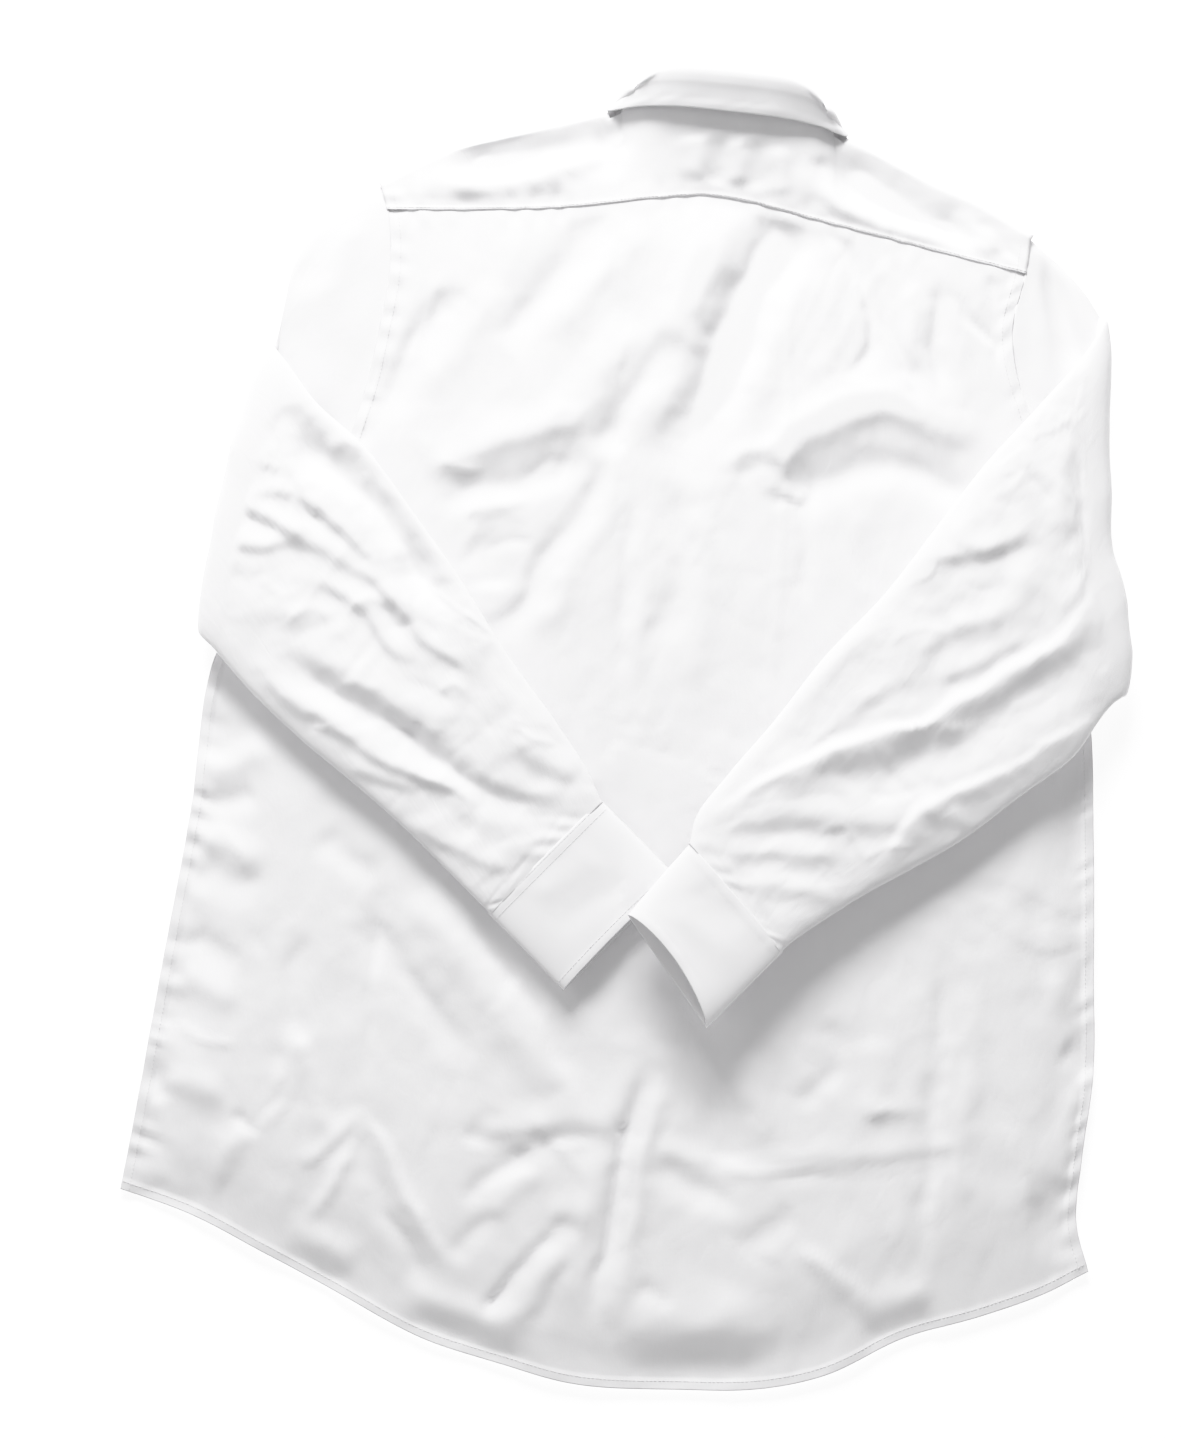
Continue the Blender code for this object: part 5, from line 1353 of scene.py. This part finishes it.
def button_finish():
    """Pearly moulded resin: cloudy bands under a glossy surface."""
    made = bpy.data.materials.new("pearl_button")
    made.use_nodes = True
    tree = made.node_tree
    shader = tree.nodes["Principled BSDF"]
    shader.inputs["Coat Weight"].default_value = 0.6
    shader.inputs["Coat Roughness"].default_value = 0.12
    place = tree.nodes.new("ShaderNodeTexCoord")
    bands = node(tree, "ShaderNodeTexWave", Scale=60.0, Distortion=6.0, Detail=3.0)
    clouds = node(tree, "ShaderNodeTexNoise", Scale=240.0, Detail=3.0)
    for pattern in (bands, clouds):
        tree.links.new(place.outputs["Object"], pattern.inputs["Vector"])
    ramp = tree.nodes.new("ShaderNodeValToRGB")
    colour = tuple(bpy.context.scene.shirt_buttons.colour)
    ramp.color_ramp.elements[0].color = (*(0.88 * c for c in colour), 1)
    ramp.color_ramp.elements[1].color = (*colour, 1)
    pearl = math_node(tree, "MULTIPLY", bands.outputs["Fac"], clouds.outputs["Fac"])
    tree.links.new(pearl, ramp.inputs["Fac"])
    tree.links.new(ramp.outputs["Color"], shader.inputs["Base Color"])
    rough = math_node(tree, "ADD", math_node(tree, "MULTIPLY", clouds.outputs["Fac"], 0.12), 0.18)
    tree.links.new(rough, shader.inputs["Roughness"])
    return made


# Crease and tone of each cloth finish
CLOTHS = {"body_poplin": (1.0, 0.03), "collar_poplin": (0.2, 0.02), "cuff_poplin": (0.25, 0.02)}


def finish(name):
    """The cloth finish of this name, made once."""
    found = bpy.data.materials.get(name)
    if found:
        return found
    colour = tuple(bpy.context.scene.shirt_cloth.colour)
    return cloth_finish(name, colour, *CLOTHS[name])


# ---------------------------------------------------------------- settings
class ShirtClothSettings(bpy.types.PropertyGroup):
    """The shirt's cloth."""

    colour: bpy.props.FloatVectorProperty(
        name="Cloth colour", description="Colour of the cotton poplin", subtype="COLOR", size=3,
        default=(0.87, 0.865, 0.875), min=0, max=1)
    wall: bpy.props.FloatProperty(
        name="Cloth thickness", description="Thickness of one layer of body cloth", default=0.0005,
        unit="LENGTH", subtype="DISTANCE")
    stiff_wall: bpy.props.FloatProperty(
        name="Collar and cuff thickness", description="Two layers of cloth with interlining", default=0.0011,
        unit="LENGTH", subtype="DISTANCE")


class ShirtStitchingSettings(bpy.types.PropertyGroup):
    """The shirt's stitching."""

    colour: bpy.props.FloatVectorProperty(
        name="Thread colour", description="Colour of the sewing thread", subtype="COLOR", size=3,
        default=(0.84, 0.835, 0.84), min=0, max=1)
    pitch: bpy.props.FloatProperty(
        name="Stitch pitch", description="From one stitch to the next", default=0.0026,
        unit="LENGTH", subtype="DISTANCE")
    length: bpy.props.FloatProperty(
        name="Stitch length", description="Length of thread that shows", default=0.0021,
        unit="LENGTH", subtype="DISTANCE")
    thickness: bpy.props.FloatProperty(
        name="Thread thickness", description="Thickness of the thread", default=0.00034,
        unit="LENGTH", subtype="DISTANCE")


class ShirtButtonSettings(bpy.types.PropertyGroup):
    """The shirt's buttons."""

    colour: bpy.props.FloatVectorProperty(
        name="Button colour", description="Colour of the pearly resin", subtype="COLOR", size=3,
        default=(0.86, 0.85, 0.82), min=0, max=1)


class ShirtStageSettings(bpy.types.PropertyGroup):
    """Floor, light and camera."""

    floor_colour: bpy.props.FloatVectorProperty(
        name="Floor colour", description="Colour of the plain floor", subtype="COLOR", size=3,
        default=(0.9, 0.9, 0.9), min=0, max=1)
    floor_glow: bpy.props.FloatProperty(
        name="Floor glow", description="Light that the lit table top gives off by itself", default=0.75)
    key_power: bpy.props.FloatProperty(
        name="Key light", description="Power of the light beyond the collar", default=58.0, unit="POWER")
    side_power: bpy.props.FloatProperty(
        name="Side light", description="Power of the soft light on the left", default=2.5, unit="POWER")
    front_power: bpy.props.FloatProperty(
        name="Front light", description="Power of the light on the hem's side", default=8.0, unit="POWER")
    sky: bpy.props.FloatProperty(
        name="Fill light", description="Strength of the even light from all round", default=0.33)
    distance: bpy.props.FloatProperty(
        name="Camera distance", description="From the camera to the table top", default=1.8,
        unit="LENGTH", subtype="DISTANCE")
    elevation: bpy.props.FloatProperty(
        name="Camera elevation", description="Angle of the view above the table top",
        default=math.radians(84), unit="ROTATION", subtype="ANGLE")


# ---------------------------------------------------------------- operators
class SHIRT_OT_fronts(bpy.types.Operator):
    """Makes the two fronts, buttoned over each other under the back"""

    bl_idname = "shirt.fronts"
    bl_label = "Fronts"

    def execute(self, context):
        yoke, first, last, _ = yoke_grid()
        wall = context.scene.shirt_cloth.wall / MM
        sides = (
            ("left_front", "front_left", ARMHOLE_LEFT, SIDE_LEFT, yoke[:first + 1, -1], -1),
            ("right_front", "front_right", ARMHOLE_RIGHT, SIDE_RIGHT, yoke[last:, -1], 1),
        )
        for name, cad, armhole, side, flap, sign in sides:
            grid = front_grid(armhole, side, flap, sign)
            panel(name, grid, cad, finish("body_poplin"), wall, side=1)
            PILE.add(grid + (0, 0, wall))
        return {"FINISHED"}


class SHIRT_OT_back(bpy.types.Operator):
    """Makes the back panel with its folds, hem and seams"""

    bl_idname = "shirt.back"
    bl_label = "Back"

    def execute(self, context):
        wall = context.scene.shirt_cloth.wall / MM
        grid = back_grid()
        panel("back", grid, "back_panel", finish("body_poplin"), wall)
        PILE.add(grid)
        return {"FINISHED"}


class SHIRT_OT_yoke(bpy.types.Operator):
    """Makes the yoke, over both shoulders to its seams with the fronts"""

    bl_idname = "shirt.yoke"
    bl_label = "Yoke"

    def execute(self, context):
        grid, first, last, over = yoke_grid()
        wall = context.scene.shirt_cloth.wall / MM
        panel("shoulder_yoke", grid, "yoke", finish("body_poplin"), 2 * wall,
              drop=lambda i, j: j >= over and first <= i < last)
        PILE.add(grid[:, :over + 1])
        return {"FINISHED"}


class SHIRT_OT_collar(bpy.types.Operator):
    """Makes the collar stand and the fall that is turned down over it"""

    bl_idname = "shirt.collar"
    bl_label = "Collar"

    def execute(self, context):
        wall = context.scene.shirt_cloth.stiff_wall / MM
        panel("stand", stand_grid(), "collar_stand", finish("collar_poplin"), wall)
        panel("fall", fall_grid(), "collar_fall", finish("collar_poplin"), wall)
        return {"FINISHED"}


class SHIRT_OT_sleeves(bpy.types.Operator):
    """Makes both sleeves, folded over and laid across the back"""

    bl_idname = "shirt.sleeves"
    bl_label = "Sleeves"

    def execute(self, context):
        wall = context.scene.shirt_cloth.wall / MM
        sides = (
            ("left_sleeve", "sleeve_left", ARMHOLE_LEFT, SLEEVE_LEFT, -1,
             SLEEVE_LEFT_FOLDS, SLEEVE_LEFT_PRESSED, SLEEVE_LEFT_BEND, 81),
            ("right_sleeve", "sleeve_right", ARMHOLE_RIGHT, SLEEVE_RIGHT, 1,
             SLEEVE_RIGHT_FOLDS, SLEEVE_RIGHT_PRESSED, SLEEVE_RIGHT_BEND, 101),
        )
        for name, cad, *measures in sides:
            grid = sleeve_grid(*measures)
            panel(name, grid, cad, finish("body_poplin"), wall, closed=True)
        return {"FINISHED"}


class SHIRT_OT_cuffs(bpy.types.Operator):
    """Makes both cuffs"""

    bl_idname = "shirt.cuffs"
    bl_label = "Cuffs"

    def execute(self, context):
        wall = context.scene.shirt_cloth.stiff_wall / MM
        for name, cad, *measures in (
            ("left_cuff", "cuff_left", CUFF_LEFT, CUFF_LEFT_FOLDS, 1.5, 121),
            ("right_cuff", "cuff_right", CUFF_RIGHT, CUFF_RIGHT_FOLDS, 8.0, 131),
        ):
            grid = cuff_grid(*measures)
            panel(name, grid, cad, finish("cuff_poplin"), wall, closed=True)
        return {"FINISHED"}


class SHIRT_OT_buttons(bpy.types.Operator):
    """Gives the buttons their pearly finish"""

    bl_idname = "shirt.buttons"
    bl_label = "Buttons"

    def execute(self, context):
        pearl = button_finish()
        for name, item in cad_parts.items():
            if name.startswith("button"):
                item.data.materials.clear()
                item.data.materials.append(pearl)
        return {"FINISHED"}


class SHIRT_OT_stitching(bpy.types.Operator):
    """Sews the seams: every stitch that shows, in one mesh for each panel"""

    bl_idname = "shirt.stitching"
    bl_label = "Stitching"

    def execute(self, context):
        thread = thread_finish()
        back, yoke, fall = SHAPES["back"], SHAPES["shoulder_yoke"], SHAPES["fall"]
        low = int(back.shape[1] * BACK_UNDERARM)
        hole = (low, back.shape[1])
        top = (0, int(yoke.shape[1] * 0.45))
        seams = {
            "back": [("hem", HEM_EDGE), ("left", ARMHOLE_EDGE, hole), ("right", ARMHOLE_EDGE, hole),
                     ("left", SIDE_EDGE, (0, low)), ("right", SIDE_EDGE, (0, low))],
            "yoke": [("hem", 1.5), ("left", ARMHOLE_EDGE, top), ("right", ARMHOLE_EDGE, top)],
            "collar": [("top", 5.6)],
            "cuff": [("top", 5.6), ("hem", 1.4), ("hem", 6.4)],
            "left_front": [("right", 2.0), ("right", 30.0), ("hem", HEM_EDGE)],
            "right_front": [("left", 2.0), ("left", 30.0), ("hem", HEM_EDGE)],
        }
        sewn = (
            ("back_stitches", "shirt_cloth", THREAD_LIFT, ((back, "back"),)),
            ("yoke_stitches", "shirt_cloth", THREAD_LIFT, ((yoke, "yoke"),)),
            ("collar_stitches", "collar_cloth", THREAD_LIFT, ((fall, "collar"),)),
            ("left_cuff_stitches", "cuff_cloth", -THREAD_LIFT, ((SHAPES["left_cuff"], "cuff"),)),
            ("right_cuff_stitches", "cuff_cloth", -THREAD_LIFT, ((SHAPES["right_cuff"], "cuff"),)),
            ("front_stitches", "shirt_cloth", -THREAD_LIFT,
             tuple((SHAPES[name], name) for name in ("left_front", "right_front"))),
        )
        for name, slot, lift, panels in sewn:
            rows = [(grid, *inset_line(grid, *seam), lift) for grid, kind in panels for seam in seams[kind]]
            stitch_rows(name, rows, thread)
        return {"FINISHED"}


class SHIRT_OT_measures(bpy.types.Operator):
    """Gives no measures: it returns at once"""

    bl_idname = "shirt.measures"
    bl_label = "Measures"

    def execute(self, context):
        return {"FINISHED"}


class SHIRT_OT_stage(bpy.types.Operator):
    """Makes the pale floor, the soft light and the camera"""

    bl_idname = "shirt.stage"
    bl_label = "Stage"

    def execute(self, context):
        settings = context.scene.shirt_stage
        scene = context.scene
        view = scene.view_settings
        view.view_transform = "Standard"
        view.use_curve_mapping = True
        view.curve_mapping.white_level = (WHITE_LEVEL,) * 3
        for place in VIEW_CURVE:
            view.curve_mapping.curves[3].points.new(*place)
        view.curve_mapping.update()
        bpy.ops.mesh.primitive_plane_add(size=FLOOR_SIZE, location=(0, 0, FLOOR_HEIGHT))
        floor = context.object
        floor.name = "floor"
        paper = bpy.data.materials.new("pale_table")
        paper.use_nodes = True
        shader = paper.node_tree.nodes["Principled BSDF"]
        shader.inputs["Roughness"].default_value = 0.9
        shader.inputs["Specular IOR Level"].default_value = 0.1
        shader.inputs["Base Color"].default_value = (*settings.floor_colour, 1)
        shader.inputs["Emission Color"].default_value = (1, 1, 1, 1)
        shader.inputs["Emission Strength"].default_value = settings.floor_glow
        floor.data.materials.append(paper)
        world = bpy.data.worlds.new("soft_white")
        world.use_nodes = True
        world.node_tree.nodes["Background"].inputs["Color"].default_value = (1, 1, 1, 1)
        world.node_tree.nodes["Background"].inputs["Strength"].default_value = settings.sky
        scene.world = world
        for name, size, spot in LIGHTS:
            lamp = bpy.data.lights.new(name, "AREA")
            lamp.shape = "RECTANGLE"
            lamp.size, lamp.size_y = size
            lamp.energy = getattr(settings, name + "_power")
            light = bpy.data.objects.new(name, lamp)
            light.location = spot
            light.rotation_euler = (-light.location).to_track_quat("-Z", "Y").to_euler()
            scene.collection.objects.link(light)
        eye = bpy.data.cameras.new("camera")
        eye.lens = LENS
        eye.sensor_width = 36
        camera = bpy.data.objects.new("camera", eye)
        e = settings.elevation
        back = Vector((0, -math.cos(e), math.sin(e)))
        camera.location = Vector(LOOK_AT) + back * settings.distance
        camera.rotation_mode = "QUATERNION"
        camera.rotation_quaternion = (-back).to_track_quat("-Z", "Y")
        scene.collection.objects.link(camera)
        scene.camera = camera
        return {"FINISHED"}


STEPS = (
    SHIRT_OT_fronts, SHIRT_OT_back, SHIRT_OT_yoke, SHIRT_OT_collar, SHIRT_OT_sleeves, SHIRT_OT_cuffs,
    SHIRT_OT_buttons, SHIRT_OT_stitching, SHIRT_OT_stage, SHIRT_OT_measures,
)
SETTINGS = (
    ("shirt_cloth", ShirtClothSettings), ("shirt_stitching", ShirtStitchingSettings),
    ("shirt_buttons", ShirtButtonSettings), ("shirt_stage", ShirtStageSettings),
)


class SHIRT_PT_panel(bpy.types.Panel):
    """Shirt making, step by step"""

    bl_idname = "SHIRT_PT_panel"
    bl_label = "Dress Shirt"
    bl_space_type = "VIEW_3D"
    bl_region_type = "UI"
    bl_category = "Shirt"

    def draw(self, context):
        for name, kind in SETTINGS:
            box = self.layout.box()
            for setting in kind.__annotations__:
                box.prop(getattr(context.scene, name), setting)
        for step in STEPS:
            self.layout.operator(step.bl_idname)


def register():
    """Adds the settings, the steps and the panel."""
    for name, kind in SETTINGS:
        bpy.utils.register_class(kind)
        setattr(bpy.types.Scene, name, bpy.props.PointerProperty(type=kind))
    for kind in (*STEPS, SHIRT_PT_panel):
        bpy.utils.register_class(kind)


def unregister():
    """Takes them out again."""
    for kind in reversed((*STEPS, SHIRT_PT_panel)):
        bpy.utils.unregister_class(kind)
    for name, kind in reversed(SETTINGS):
        delattr(bpy.types.Scene, name)
        bpy.utils.unregister_class(kind)


def main():
    """Makes the shirt step by step."""
    register()
    for step in STEPS:
        group, name = step.bl_idname.split(".")
        getattr(getattr(bpy.ops, group), name)()


if __name__ == "__main__":
    main()
